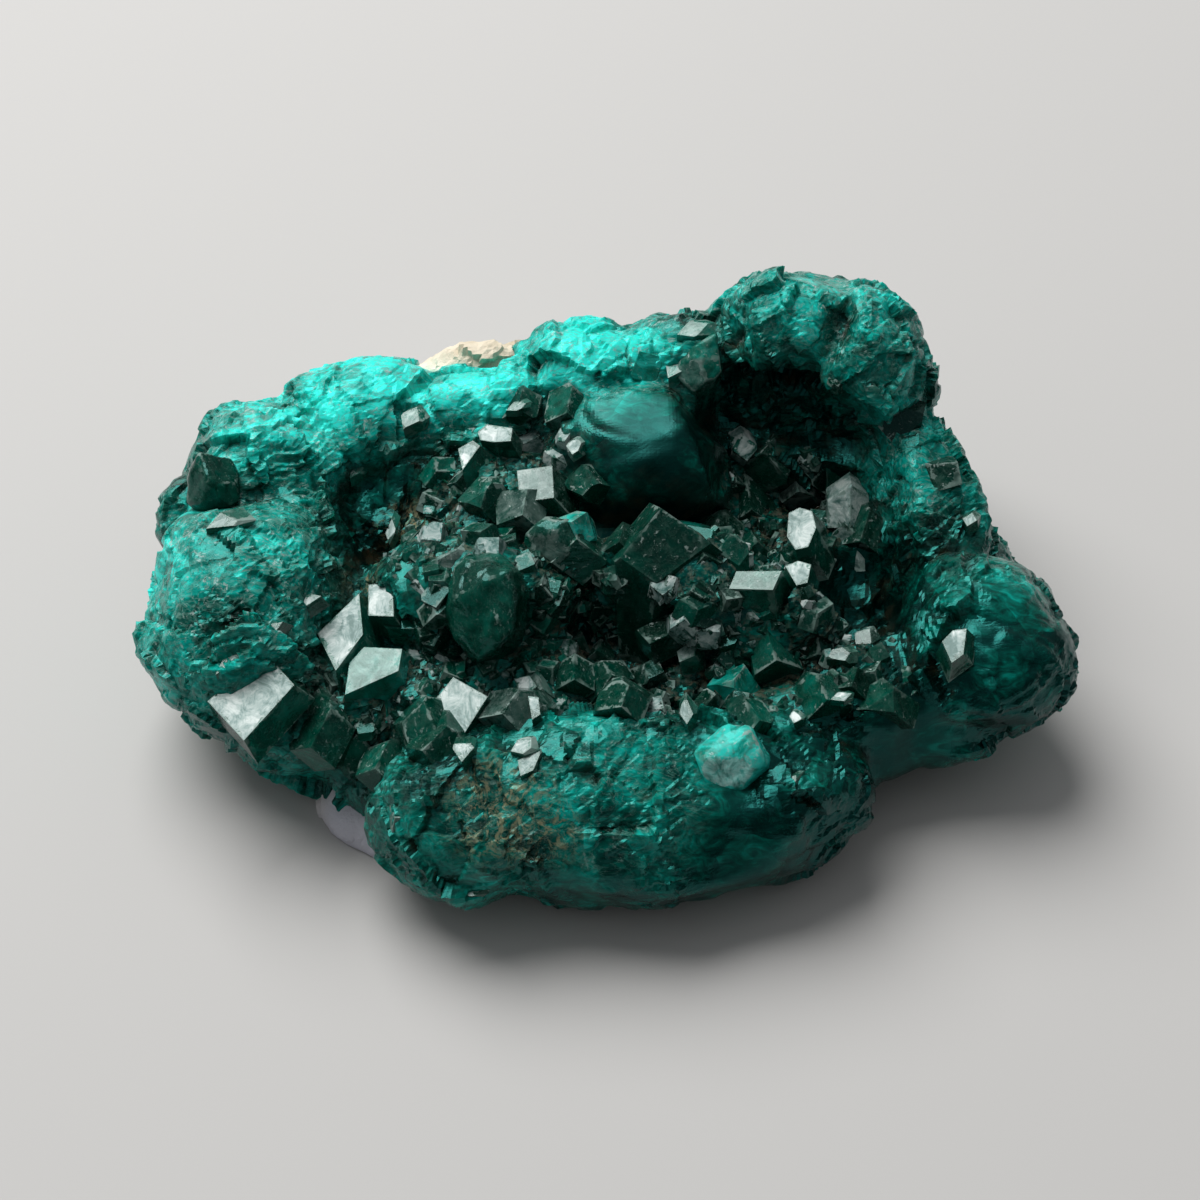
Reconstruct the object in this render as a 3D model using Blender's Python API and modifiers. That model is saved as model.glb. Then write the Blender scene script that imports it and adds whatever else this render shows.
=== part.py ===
"""Dioptase specimen: a thick green crust of dioptase, with a rough rim and a basin
full of intergrown crystals, on a pale slab of host rock that is sawn flat underneath.

Run it with:  blender --background --python part.py
The tables are in millimetres and the scene is in metres. +X runs along the specimen,
+Y towards its back edge and +Z up. The origin is the middle of the flat base.
"""

import math
import random

import bmesh
import bpy
from mathutils import Matrix, Vector
from mathutils.bvhtree import BVHTree
from mathutils.kdtree import KDTree

MM = 0.001

# Driving dimensions, in millimetres
VOXEL = 0.5  # grain at which the masses are joined
GAP = 0.3  # clearance between the crust and the host rock
FACET_SPACING = 2.4  # between the broken facets on the massive dioptase
HOST_FACET_SPACING = 3.2
FACET_RELIEF = 0.3
FACET_TILT = 0.25  # steepest slope of a facet across the surface
CRUST_FACES = 3900
HOST_FACES = 600
ABOVE_ALL = 60.0
EDGE_HEIGHT = 6.0  # where a crystal that stands past the edge of the crust joins it

# A crystal is a six-sided prism under a point of three faces, as dioptase grows
POINT_SLOPE = 1.233  # fall of a point's face over its run from the axis
POINT_LEAN = math.degrees(math.atan(POINT_SLOPE))  # of the axis, where a face of the point lies level
LENGTH_IN_RADII = 3.2
GLINT = Vector((-0.21, -0.12, 0.97)).normalized()  # the way that the bright faces look

# The masses that the crust grew as: middle, half sizes, turn about Z in degrees
MASSES = {
    "floor_left": ((-13.0, 1.0, 4.0), (15.0, 12.0, 5.5), 0),
    "floor_middle": ((3.0, 2.0, 4.0), (17.0, 14.0, 6.0), 0),
    "floor_right": ((16.0, 3.0, 5.0), (11.0, 9.0, 4.0), 0),
    "floor_back": ((0.0, 9.0, 5.0), (14.0, 8.0, 6.0), 0),
    "floor_cleft": ((-13.5, 9.0, 6.5), (7.0, 6.0, 4.5), 0),
    "floor_front": ((-7.0, -7.5, 4.0), (12.0, 8.0, 6.0), 0),
    "left_mound": ((-22.5, 0.0, 8.0), (7.2, 9.5, 7.0), 0),
    "left_back": ((-22.5, 9.0, 8.0), (6.5, 6.5, 6.5), -30),
    "left_front": ((-18.3, -5.8, 5.0), (6.8, 5.8, 5.0), -25),
    "rim_left": ((-15.5, 13.8, 9.0), (7.5, 5.0, 5.8), 10),
    "rim_back": ((-8.0, 13.6, 9.5), (8.5, 4.0, 5.6), 5),
    "rim_middle": ((-1.5, 14.8, 10.8), (6.5, 4.5, 6.3), 0),
    "rim_notch": ((5.0, 15.5, 11.5), (6.0, 4.5, 6.5), 0),
    "dark_lump": ((2.0, 9.5, 10.5), (6.5, 5.0, 6.5), -20),
    "slope_left": ((-7.0, 7.0, 7.5), (6.5, 6.5, 5.5), 0),
    "back_block": ((12.8, 15.4, 12.2), (8.3, 5.5, 10.1), 0),
    "back_corner": ((16.9, 14.0, 12.0), (5.0, 6.0, 9.7), 20),
    "right_ridge": ((20.3, 8.0, 8.5), (4.1, 8.3, 6.5), 15),
    "right_lobe": ((23.3, -3.5, 7.5), (6.5, 6.5, 5.5), 35),
    "right_front": ((21.0, -5.5, 6.0), (7.5, 4.5, 4.5), 15),
    "terrace": ((15.0, -7.0, 5.5), (8.5, 5.0, 4.5), 20),
    "front_lobe": ((1.0, -13.2, 5.5), (13.0, 7.1, 6.0), 0),
    "front_right": ((10.0, -12.5, 5.0), (6.5, 6.0, 5.0), 20),
    "front_left": ((-8.5, -14.0, 5.5), (6.0, 6.2, 5.5), -20),
    "hump_left": ((-7.5, -1.0, 9.0), (8.0, 4.5, 5.5), 0),
    "hump_middle": ((3.5, -0.5, 9.0), (8.0, 4.5, 5.5), 0),
    "hump_right": ((10.5, -2.0, 8.0), (4.5, 4.0, 4.5), 0),
}

# The pale host rock under the crust, which shows along the back and at one nub in front
HOST = {
    "slab_left": ((-13.0, 4.0, 1.5), (14.0, 11.0, 4.0), 8),
    "slab_right": ((4.0, 4.0, 1.0), (15.0, 11.0, 3.5), -4),
    "slab_back": ((-8.3, 16.2, 6.5), (8.5, 3.4, 8.2), 3),
    "slab_fill": ((-4.0, 10.5, 1.0), (9.0, 7.5, 4.0), 0),
    "slab_nub": ((-13.8, -10.2, 0.5), (5.0, 4.2, 2.4), -35),
}

# Crystals with one face of the point turned level to catch the light: plan position
# of that face, its height above the crust, radius, and the way that the axis leans,
# in degrees round from +X
BRIGHT_CRYSTALS = {
    "kite": ((-16.0, -3.5), 1.5, 3.0, 240),
    "step": ((-14.5, -6.5), 1.5, 2.4, 280),
    "corner": ((-20.0, -8.0), 1.2, 3.0, 215),
    "strip": ((-21.0, -5.0), 1.0, 1.6, 160),
    "slanting": ((-9.0, -9.0), 1.2, 2.0, 305),
    "small_white": ((-5.0, -9.0), 0.8, 0.8, 20),
    "small_upright": ((-4.5, -11.5), 0.8, 0.7, 80),
    "small_hexagon": ((-9.0, -13.5), 0.8, 0.9, 100),
    "bright_pair": ((-7.5, 9.0), 1.2, 1.7, 30),
    "top_chip": ((-2.0, 7.0), 1.0, 0.8, 130),
    "striated": ((-4.5, 5.0), 1.0, 1.6, 90),
    "left_step": ((-14.0, -2.5), 1.0, 1.4, 10),
    "left_edge": ((-13.0, 4.5), 1.0, 1.1, 100),
    "cleft_high": ((12.5, 4.5), 1.2, 1.6, 80),
    "cleft_low": ((11.5, -1.5), 1.0, 1.1, 110),
    "flash": ((21.0, -6.0), 1.2, 1.6, 250),
    "ledge_chip": ((14.5, -6.0), 1.0, 1.2, 20),
    "flat_top": ((8.5, -2.5), 1.5, 1.8, 100),
    "turquoise": ((8.0, -14.5), 1.4, 2.9, 265),
    "grey_wedge": ((5.0, -5.5), 1.0, 1.3, 140),
    "middle_chip": ((5.0, -11.5), 1.0, 0.9, 240),
    "middle_flake": ((6.5, -10.5), 0.8, 0.7, 100),
    "low_cluster": ((-5.0, -14.0), 1.0, 1.3, 230),
    "hollow_chip": ((-17.0, 11.0), 0.6, 0.8, 90),
    "mound_chip": ((-23.5, 0.5), 0.8, 1.2, 30),
    "edge_chip": ((23.0, 4.0), 0.8, 0.8, 90),
    "back_facet": ((5.5, 15.0), 1.2, 1.6, 110),
    "ledge_slab": ((15.5, -2.5), 1.0, 2.0, 10),
}

# Crystals that point up or at the viewer: plan position, height of the tip above the
# crust, radius, lean from upright, the way that it leans, and turn, in degrees
POINTING_CRYSTALS = {
    "round": ((-7.5, -3.0), 2.5, 2.9, 38, 265, 10),
    "pyramid": ((3.7, 0.3), 3.2, 3.8, 14, 110, 34),
    "pillar": ((-2.5, 1.5), 2.0, 2.0, 20, 280, 0),
    "right_block": ((10.0, -4.0), 2.0, 2.6, 45, 300, 40),
    "dark_lump": ((4.5, 7.0), 1.0, 2.6, 50, 290, 20),
    "dark_back": ((-4.0, 12.0), 1.5, 2.2, 35, 250, 0),
    "under_pair": ((-7.0, 6.5), 1.5, 2.0, 50, 280, 30),
    "dark_bar": ((-8.5, 3.5), 1.5, 1.8, 60, 200, 0),
    "centre_left": ((-2.0, -6.5), 1.5, 1.8, 35, 250, 15),
    "centre_low": ((-3.5, -9.5), 1.2, 1.6, 30, 290, 0),
    "centre_right": ((0.0, -8.5), 1.2, 1.7, 40, 280, 30),
    "mound_oval": ((-25.0, 4.0), 1.5, 2.2, 35, 220, 0),
    "low_left": ((-11.0, -18.5), 1.5, 3.4, 50, 225, 10),
    "low_middle": ((-5.0, -17.0), 1.2, 2.0, 60, 280, 0),
    "left_hexagon": ((-10.5, -2.0), 1.5, 2.2, 25, 200, 20),
    "left_fan": ((-11.5, -3.5), 1.2, 2.0, 45, 240, 40),
    "middle_dark": ((-0.5, -0.5), 1.2, 2.2, 30, 250, 0),
    "middle_back": ((-1.5, 7.5), 1.2, 1.8, 30, 270, 20),
    "teal_wedge": ((7.5, -7.0), 1.5, 1.8, 20, 260, 20),
    "right_a": ((8.0, -5.0), 1.2, 1.5, 40, 300, 0),
    "right_b": ((10.5, -6.5), 1.2, 1.8, 25, 240, 30),
    "right_c": ((12.5, -8.5), 1.2, 1.8, 35, 300, 15),
    "right_d": ((15.0, -9.0), 1.2, 1.6, 45, 260, 40),
    "right_e": ((16.5, -7.5), 1.2, 1.5, 20, 300, 0),
    "right_f": ((19.0, -8.5), 1.0, 1.5, 40, 290, 25),
    "front_a": ((-11.5, -13.5), 1.5, 2.4, 45, 230, 0),
    "front_b": ((-14.0, -13.0), 1.5, 2.2, 35, 250, 30),
    "front_c": ((-17.0, -11.5), 1.5, 2.4, 50, 235, 15),
    "front_d": ((-16.5, -9.0), 1.2, 1.8, 30, 280, 40),
    "front_e": ((-6.5, -12.0), 1.2, 2.2, 40, 240, 10),
    "hollow_a": ((10.0, 10.5), 1.0, 2.0, 30, 250, 0),
    "hollow_b": ((12.5, 9.5), 1.0, 1.8, 45, 270, 20),
    "hollow_c": ((10.5, 7.5), 1.2, 2.4, 20, 290, 40),
    "hollow_d": ((15.0, 8.0), 1.2, 2.2, 35, 230, 15),
    "hollow_e": ((15.5, 3.5), 1.2, 2.6, 55, 250, 0),
    "hollow_f": ((8.5, 9.0), 1.0, 1.8, 40, 300, 30),
    "hollow_g": ((7.0, 5.0), 1.0, 1.6, 30, 260, 10),
    "back_a": ((2.0, 13.5), 1.2, 1.6, 20, 200, 0),
    "back_b": ((3.5, 12.0), 1.2, 1.7, 40, 280, 20),
    "back_c": ((8.0, 15.0), 1.2, 2.0, 30, 120, 40),
    "edge_prism": ((22.8, 5.0), 0.8, 1.9, 75, 315, 0),
    "edge_black": ((20.8, 11.0), 0.8, 1.4, 60, 30, 0),
}

# Where the smaller crystals stand in the basin: middle and half sizes of plan ovals,
# and how many
SMALL_CRYSTALS = [
    ((-6.0, 2.0), (8.0, 9.0), 26),
    ((5.0, -4.0), (13.0, 6.0), 26),
    ((-13.0, -8.0), (6.0, 3.5), 10),
    ((11.0, 6.5), (5.0, 5.0), 12),
]
SMALL_RADIUS = (0.8, 1.5)


def clear_scene():
    for old in list(bpy.data.objects):
        bpy.data.objects.remove(old)


def new_collection(name):
    made = bpy.data.collections.new(name)
    bpy.context.scene.collection.children.link(made)
    return made


def object_from(bm, name, collection):
    mesh = bpy.data.meshes.new(name)
    bm.to_mesh(mesh)
    bm.free()
    made = bpy.data.objects.new(name, mesh)
    collection.objects.link(made)
    return made


def apply_modifiers(thing):
    """Works the modifiers into the mesh."""
    bpy.context.view_layer.update()
    graph = bpy.context.evaluated_depsgraph_get()
    mesh = bpy.data.meshes.new_from_object(thing.evaluated_get(graph))
    thing.modifiers.clear()
    thing.data = mesh


def unit_vector(rng):
    return Vector((rng.gauss(0, 1), rng.gauss(0, 1), rng.gauss(0, 1))).normalized()


def add_mass(bm, middle, half, turn, rng):
    """One mass of rock: a ball with a few sides broken off flat, stretched and turned."""
    made = bmesh.ops.create_icosphere(bm, subdivisions=4, radius=1.0)
    breaks = [(unit_vector(rng), rng.uniform(0.78, 0.93)) for _ in range(9)]
    for vert in made["verts"]:
        for side, depth in breaks:
            over = vert.co.dot(side) - depth
            if over > 0:
                vert.co -= over * side
    place = (
        Matrix.Translation(Vector(middle) * MM)
        @ Matrix.Rotation(math.radians(turn), 4, "Z")
        @ Matrix.Diagonal((*(Vector(half) * MM), 1.0))
    )
    bmesh.ops.transform(bm, matrix=place, verts=made["verts"])


def joined_masses(name, masses, collection, rng):
    bm = bmesh.new()
    for middle, half, turn in masses.values():
        add_mass(bm, middle, half, turn, rng)
    made = object_from(bm, name, collection)
    remesh = made.modifiers.new("join", "REMESH")
    remesh.mode = "VOXEL"
    remesh.voxel_size = VOXEL * MM
    smooth = made.modifiers.new("blend", "SMOOTH")
    smooth.factor = 0.5
    smooth.iterations = 4
    apply_modifiers(made)
    return made


def break_into_facets(mesh, spacing, rng):
    """Tilts each patch of the surface its own way, as on broken rock."""
    count = int(sum(p.area for p in mesh.polygons) / (spacing * MM) ** 2)
    seeds = [mesh.vertices[rng.randrange(len(mesh.vertices))].co.copy() for _ in range(count)]
    tilts = [unit_vector(rng) * FACET_TILT for _ in seeds]
    lifts = [rng.uniform(-FACET_RELIEF, FACET_RELIEF) * MM for _ in seeds]
    tree = KDTree(len(seeds))
    for index, seed in enumerate(seeds):
        tree.insert(seed, index)
    tree.balance()
    moves = []
    for vert in mesh.vertices:
        seed, index, _ = tree.find(vert.co)
        moves.append(vert.normal * (lifts[index] + tilts[index].dot(vert.co - seed)))
    for vert, move in zip(mesh.vertices, moves):
        vert.co += move


def thin_out(thing, faces):
    thing.data.calc_loop_triangles()
    decimate = thing.modifiers.new("thin out", "DECIMATE")
    decimate.ratio = faces / len(thing.data.loop_triangles)
    decimate.use_collapse_triangulate = True
    apply_modifiers(thing)


def crystal(name, tip, radius, turned, collection):
    """A pointed prism with its tip at that place, its axis along the local Z."""
    length = LENGTH_IN_RADII * radius
    bm = bmesh.new()
    bmesh.ops.create_cone(
        bm, cap_ends=True, cap_tris=True, segments=6, radius1=radius, radius2=radius, depth=length
    )
    for vert in bm.verts:
        if vert.co.z < 0:
            vert.co.z = -length
            continue
        out = vert.co.xy.length
        corner = round(math.degrees(math.atan2(vert.co.y, vert.co.x)) / 60 - 0.5)
        vert.co.z = -out * POINT_SLOPE * (1.0 if corner % 2 else 0.5)
    bmesh.ops.transform(bm, matrix=Matrix.Translation(tip) @ turned.to_4x4(), verts=bm.verts)
    return object_from(bm, name, collection)


def axis_turn(lean, heading, turn):
    """Turns local Z to lean that far from upright, towards that heading."""
    return (
        Matrix.Rotation(math.radians(heading), 3, "Z")
        @ Matrix.Rotation(math.radians(lean), 3, "Y")
        @ Matrix.Rotation(math.radians(turn - heading), 3, "Z")
    )


def point_on(tree, plan, proud):
    """The place that far above the crust, over a plan position, and the crust's normal there."""
    over = Vector((plan[0], plan[1], ABOVE_ALL)) * MM
    hit, normal, _, _ = tree.ray_cast(over, Vector((0, 0, -1)))
    if hit is None:  # just past the edge of the crust
        hit, normal, _, _ = tree.find_nearest(Vector((plan[0], plan[1], EDGE_HEIGHT)) * MM)
    return hit + Vector((0, 0, proud * MM)), normal


def bright_crystal(name, tree, plan, proud, radius, heading, collection):
    face_middle, _ = point_on(tree, plan, proud)
    turned = Vector((0, 0, 1)).rotation_difference(GLINT).to_matrix() @ axis_turn(
        POINT_LEAN, heading, heading + 90
    )
    # The middle of the point's face at local +Y, seen from the tip
    middle = Vector((0, radius / 2, -radius * POINT_SLOPE / 2)) * MM
    crystal(name, face_middle - turned @ middle, radius * MM, turned, collection)


def grow_crystals(crust, collection):
    """Every crystal as an object of its own, in the places that the tables give."""
    tree = BVHTree.FromPolygons(
        [v.co for v in crust.data.vertices], [p.vertices[:] for p in crust.data.polygons]
    )
    for name, (plan, proud, radius, heading) in BRIGHT_CRYSTALS.items():
        bright_crystal(name, tree, plan, proud, radius, heading, collection)
    for name, (plan, proud, radius, lean, heading, turn) in POINTING_CRYSTALS.items():
        tip, _ = point_on(tree, plan, proud)
        crystal(name, tip, radius * MM, axis_turn(lean, heading, turn), collection)
    rng = random.Random(11)
    for middle, half, count in SMALL_CRYSTALS:
        for _ in range(count):
            angle = rng.uniform(0, 2 * math.pi)
            reach = math.sqrt(rng.random())
            plan = (
                middle[0] + half[0] * reach * math.cos(angle),
                middle[1] + half[1] * reach * math.sin(angle),
            )
            radius = rng.uniform(*SMALL_RADIUS)
            tip, normal = point_on(tree, plan, 0.9 * radius)
            axis = (normal + 0.45 * unit_vector(rng)).normalized()
            turned = axis.to_track_quat("Z", "X").to_matrix() @ axis_turn(0, 0, rng.uniform(0, 120))
            crystal("small", tip, radius * MM, turned, collection)


def join(thing, collection):
    made = thing.modifiers.new("join", "BOOLEAN")
    made.operation = "UNION"
    made.solver = "EXACT"
    made.operand_type = "COLLECTION"
    made.collection = collection
    apply_modifiers(thing)


def cut(thing, cutter):
    made = thing.modifiers.new("cut", "BOOLEAN")
    made.operation = "DIFFERENCE"
    made.solver = "MANIFOLD"  # EXACT loses the crust when the host is cut from it
    made.object = cutter
    apply_modifiers(thing)


def drop_crumbs(thing):
    """Keeps only the largest body, for a cut can leave loose crumbs."""
    bm = bmesh.new()
    bm.from_mesh(thing.data)
    unseen = set(bm.verts)
    bodies = []
    while unseen:
        body = set()
        edge = [unseen.pop()]
        while edge:
            vert = edge.pop()
            body.add(vert)
            near = {e.other_vert(vert) for e in vert.link_edges} & unseen
            unseen -= near
            edge.extend(near)
        bodies.append(body)
    largest = max(bodies, key=len)
    bmesh.ops.delete(bm, geom=[v for v in bm.verts if v not in largest], context="VERTS")
    bm.to_mesh(thing.data)
    bm.free()


def ground_block(collection):
    """A block that fills everything below the flat base."""
    bm = bmesh.new()
    bmesh.ops.create_cube(bm, size=1.0)
    side = 2 * ABOVE_ALL * MM
    place = Matrix.Translation((0, 0, -side / 2)) @ Matrix.Diagonal((side, side, side, 1.0))
    bmesh.ops.transform(bm, matrix=place, verts=bm.verts)
    return object_from(bm, "ground_block", collection)


def grown(thing, by, collection):
    """A copy of the thing that stands that far outside it."""
    bm = bmesh.new()
    bm.from_mesh(thing.data)
    bm.normal_update()
    shifts = [vert.normal * by * min(vert.calc_shell_factor(), 2.0) for vert in bm.verts]
    for vert, shift in zip(bm.verts, shifts):
        vert.co += shift
    return object_from(bm, thing.name + "_grown", collection)


def centre_on_base(things):
    corners = [v.co for thing in things for v in thing.data.vertices]
    low = Vector(min(c[i] for c in corners) for i in range(3))
    high = Vector(max(c[i] for c in corners) for i in range(3))
    shift = Vector((-(low.x + high.x) / 2, -(low.y + high.y) / 2, 0))
    for thing in things:
        thing.location = shift


def finish(thing, colour, roughness):
    material = bpy.data.materials.new(thing.name)
    material.use_nodes = True
    shader = material.node_tree.nodes["Principled BSDF"]
    shader.inputs["Base Color"].default_value = (*colour, 1.0)
    shader.inputs["Roughness"].default_value = roughness
    shader.inputs["Metallic"].default_value = 0.0
    thing.data.materials.clear()
    thing.data.materials.append(material)


def main():
    clear_scene()
    parts = new_collection("Dioptase specimen")
    helpers = new_collection("Helpers")
    crystals = new_collection("Crystals")

    crust = joined_masses("dioptase", MASSES, parts, random.Random(3))
    break_into_facets(crust.data, FACET_SPACING, random.Random(5))
    thin_out(crust, CRUST_FACES)
    host = joined_masses("host_rock", HOST, parts, random.Random(4))
    break_into_facets(host.data, HOST_FACET_SPACING, random.Random(6))
    thin_out(host, HOST_FACES)
    ground = ground_block(helpers)

    grow_crystals(crust, crystals)
    join(crust, crystals)
    cut(crust, grown(host, GAP * MM, helpers))
    cut(crust, grown(host, GAP / 2 * MM, helpers))  # clears the creases that the first folds over
    cut(crust, ground)
    cut(host, ground)
    drop_crumbs(crust)
    for helper in [*crystals.objects, *helpers.objects]:
        bpy.data.objects.remove(helper)
    centre_on_base([crust, host])
    finish(crust, (0.0, 0.12, 0.07), 0.25)
    finish(host, (0.80, 0.72, 0.58), 0.85)


main()
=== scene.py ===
import math
import random

import bmesh
import bpy
import numpy as np
from mathutils import Matrix, Vector, noise
from mathutils.bvhtree import BVHTree
from mathutils.kdtree import KDTree


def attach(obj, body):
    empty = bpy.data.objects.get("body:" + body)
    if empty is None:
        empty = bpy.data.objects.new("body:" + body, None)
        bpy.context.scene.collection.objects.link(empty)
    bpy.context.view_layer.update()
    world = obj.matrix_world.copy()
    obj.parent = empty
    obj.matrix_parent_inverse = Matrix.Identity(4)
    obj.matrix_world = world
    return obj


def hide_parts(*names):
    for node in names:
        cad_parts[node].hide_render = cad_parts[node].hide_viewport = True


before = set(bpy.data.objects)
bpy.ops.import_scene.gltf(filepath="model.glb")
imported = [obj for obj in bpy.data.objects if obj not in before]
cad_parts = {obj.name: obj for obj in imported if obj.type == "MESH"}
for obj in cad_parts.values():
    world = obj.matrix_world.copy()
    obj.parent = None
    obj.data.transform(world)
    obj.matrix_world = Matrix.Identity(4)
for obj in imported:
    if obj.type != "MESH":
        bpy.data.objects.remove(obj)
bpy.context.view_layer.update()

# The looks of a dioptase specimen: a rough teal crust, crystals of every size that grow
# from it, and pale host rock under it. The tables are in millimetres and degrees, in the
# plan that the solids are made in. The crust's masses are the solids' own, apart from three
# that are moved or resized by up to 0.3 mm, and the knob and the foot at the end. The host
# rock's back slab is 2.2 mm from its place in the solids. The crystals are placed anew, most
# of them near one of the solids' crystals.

MM = 0.001
SHIFT = Vector((-0.2687, -0.2800, 0.0)) * MM  # from the tables' plan to the middle of the base

# How the crust and the host rock are broken. Facets have a spacing, relief and tilt.
VOXEL = 0.25
HOST_VOXEL = 0.35
BREAKS = 9
BREAK_DEPTH = (0.78, 0.93)
BLEND_ROUNDS = 14
SLABS = (4.6, 0.30, 0.15)
GRAINS = ((2.4, 0.24, 0.24), (1.1, 0.05, 0.16))
HOST_GRAINS = ((3.2, 0.25, 0.22), (0.9, 0.08, 0.25))
LAYER_AXIS = (-0.42, 0.62, 0.66)
LAYER_PITCH = 1.3
LAYER_RELIEF = 0.30
LAYER_WARP = 2.2
WARP_SPACING = 3.5
WEAR_ROUNDS = 5
WEAR_SHARE = 0.9
CLEFT_FLOOR = 5.0

# The shape of a crystal, in radii
POINT_SLOPE = 1.233
POINT_LEAN = math.degrees(math.atan(POINT_SLOPE))
FACE_LENGTH = math.hypot(1, POINT_SLOPE)
FACE_WIDTH = math.sqrt(3)
LENGTH_IN_RADII = 2.6
SHORT_IN_RADII = 1.7
RIM = 0.08  # round a face
WORN_SPACING = 0.08  # of the points of a worn crystal's surface
WORN_ROUNDS = 8
BODY_SIDES = 30
BODY_DISTANCE = (0.90, 1.0)
PALE_SIDE_DISTANCE = 0.80
SIDE_DISTANCE = 0.866
SIDE_SHIFT = (-0.1, 0.18)
FACE_SHIFT = (-0.22, 0.02)
CORNERS = (30, 90, 150)  # of the first face, and how they are broken
CORNER_TURN = 25
CORNER_RISE = (-0.2, 0.3)
CORNER_BREAK = (0.6, 0.85)
TIP_LEAN = 0.4
TIP_BREAK = (-0.3, -0.1)
CHIP_RISE = (0.2, 1.6)
CHIP_BREAK = (0.25, 0.6)
CUBE_TO_CUT = 16.0
FLARE = (0.02, 0.35)  # how much a broken crystal widens downwards
BROKEN_CORNERS = 0.45  # share of a large crystal's corners
FACE_SHADE = 0.08  # how much the tone differs between a crystal's faces
OWN_STEP = 7.3  # between the places that crystals take their patterns from

UP = Vector((0, 0, 1))
GLINT = Vector((-0.21, -0.12, 0.97)).normalized()  # where the bright faces look
FRONT_LEFT = Vector((-0.35, -0.75, 0.55)).normalized()
ABOVE_ALL = 60.0
EDGE_HEIGHT = 6.0

# What the crust and the host rock are joined from: middle, half sizes and turn
MASSES = {
    "floor_left": ((-13, 1, 4), (15, 12, 5.5), 0),
    "floor_middle": ((3, 2, 4), (17, 14, 6), 0),
    "floor_right": ((16, 3, 5), (11, 9, 4), 0),
    "floor_back": ((0, 9, 5), (14, 8, 6), 0),
    "floor_cleft": ((-13.5, 9, 6.5), (7, 6, 4.5), 0),
    "floor_front": ((-7, -7.5, 4), (12, 8, 6), 0),
    "left_mound": ((-22.5, 0, 8), (7.2, 9.5, 7), 0),
    "left_back": ((-22.5, 9, 8), (6.5, 6.5, 6.5), -30),
    "left_front": ((-18.3, -5.8, 5), (6.8, 5.8, 5), -25),
    "rim_left": ((-15.5, 13.8, 9), (7.5, 5, 5.8), 10),
    "rim_back": ((-8, 13.6, 9.5), (8.5, 4, 5.6), 5),
    "rim_middle": ((-1.5, 14.8, 10.8), (6.5, 4.5, 6.3), 0),
    "rim_notch": ((5, 15.5, 11.5), (6, 4.5, 6.5), 0),
    "dark_lump": ((2, 9.5, 10.5), (6.5, 5, 6.5), -20),
    "slope_left": ((-7, 7, 7.5), (6.5, 6.5, 5.5), 0),
    "back_block": ((12.8, 15.4, 12.1), (8.3, 5.5, 9.9), 0),
    "back_corner": ((16.6, 14, 12), (4.9, 6, 9.7), 20),
    "right_ridge": ((20.2, 8, 8.5), (4.1, 8.3, 6.5), 15),
    "right_lobe": ((23.3, -3.5, 7.5), (6.5, 6.5, 5.5), 35),
    "right_front": ((21, -5.5, 6), (7.5, 4.5, 4.5), 15),
    "terrace": ((15, -7, 5.5), (8.5, 5, 4.5), 20),
    "front_lobe": ((1, -13.2, 5.5), (13, 7.1, 6), 0),
    "front_right": ((10, -12.5, 5), (6.5, 6, 5), 20),
    "front_left": ((-8.5, -14, 5.5), (6, 6.2, 5.5), -20),
    "hump_left": ((-7.5, -1, 9), (8, 4.5, 5.5), 0),
    "hump_middle": ((3.5, -0.5, 9), (8, 4.5, 5.5), 0),
    "hump_right": ((10.5, -2, 8), (4.5, 4, 4.5), 0),
    "left_knob": ((-27.3, 7, 8.5), (2.2, 2.4, 2.6), 0),
    "corner_foot": ((-20.6, -8.6, 5.3), (3.2, 2.4, 3.4), -20),
}

HOST = {
    "slab_left": ((-13, 4, 1.5), (14, 11, 4), 8),
    "slab_right": ((4, 4, 1), (15, 11, 3.5), -4),
    "slab_back": ((-6.2, 16.9, 6.4), (9.2, 3.3, 8.5), 3),
    "slab_fill": ((-4, 10.5, 1), (9, 7.5, 4), 0),
    "slab_nub": ((-13.8, -10.2, 0.5), (5, 4.2, 2.4), -35),
}

# Where the host rock is smooth and pale: middle and reach
NUB = [((-15, -12, 1), 7)]
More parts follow.
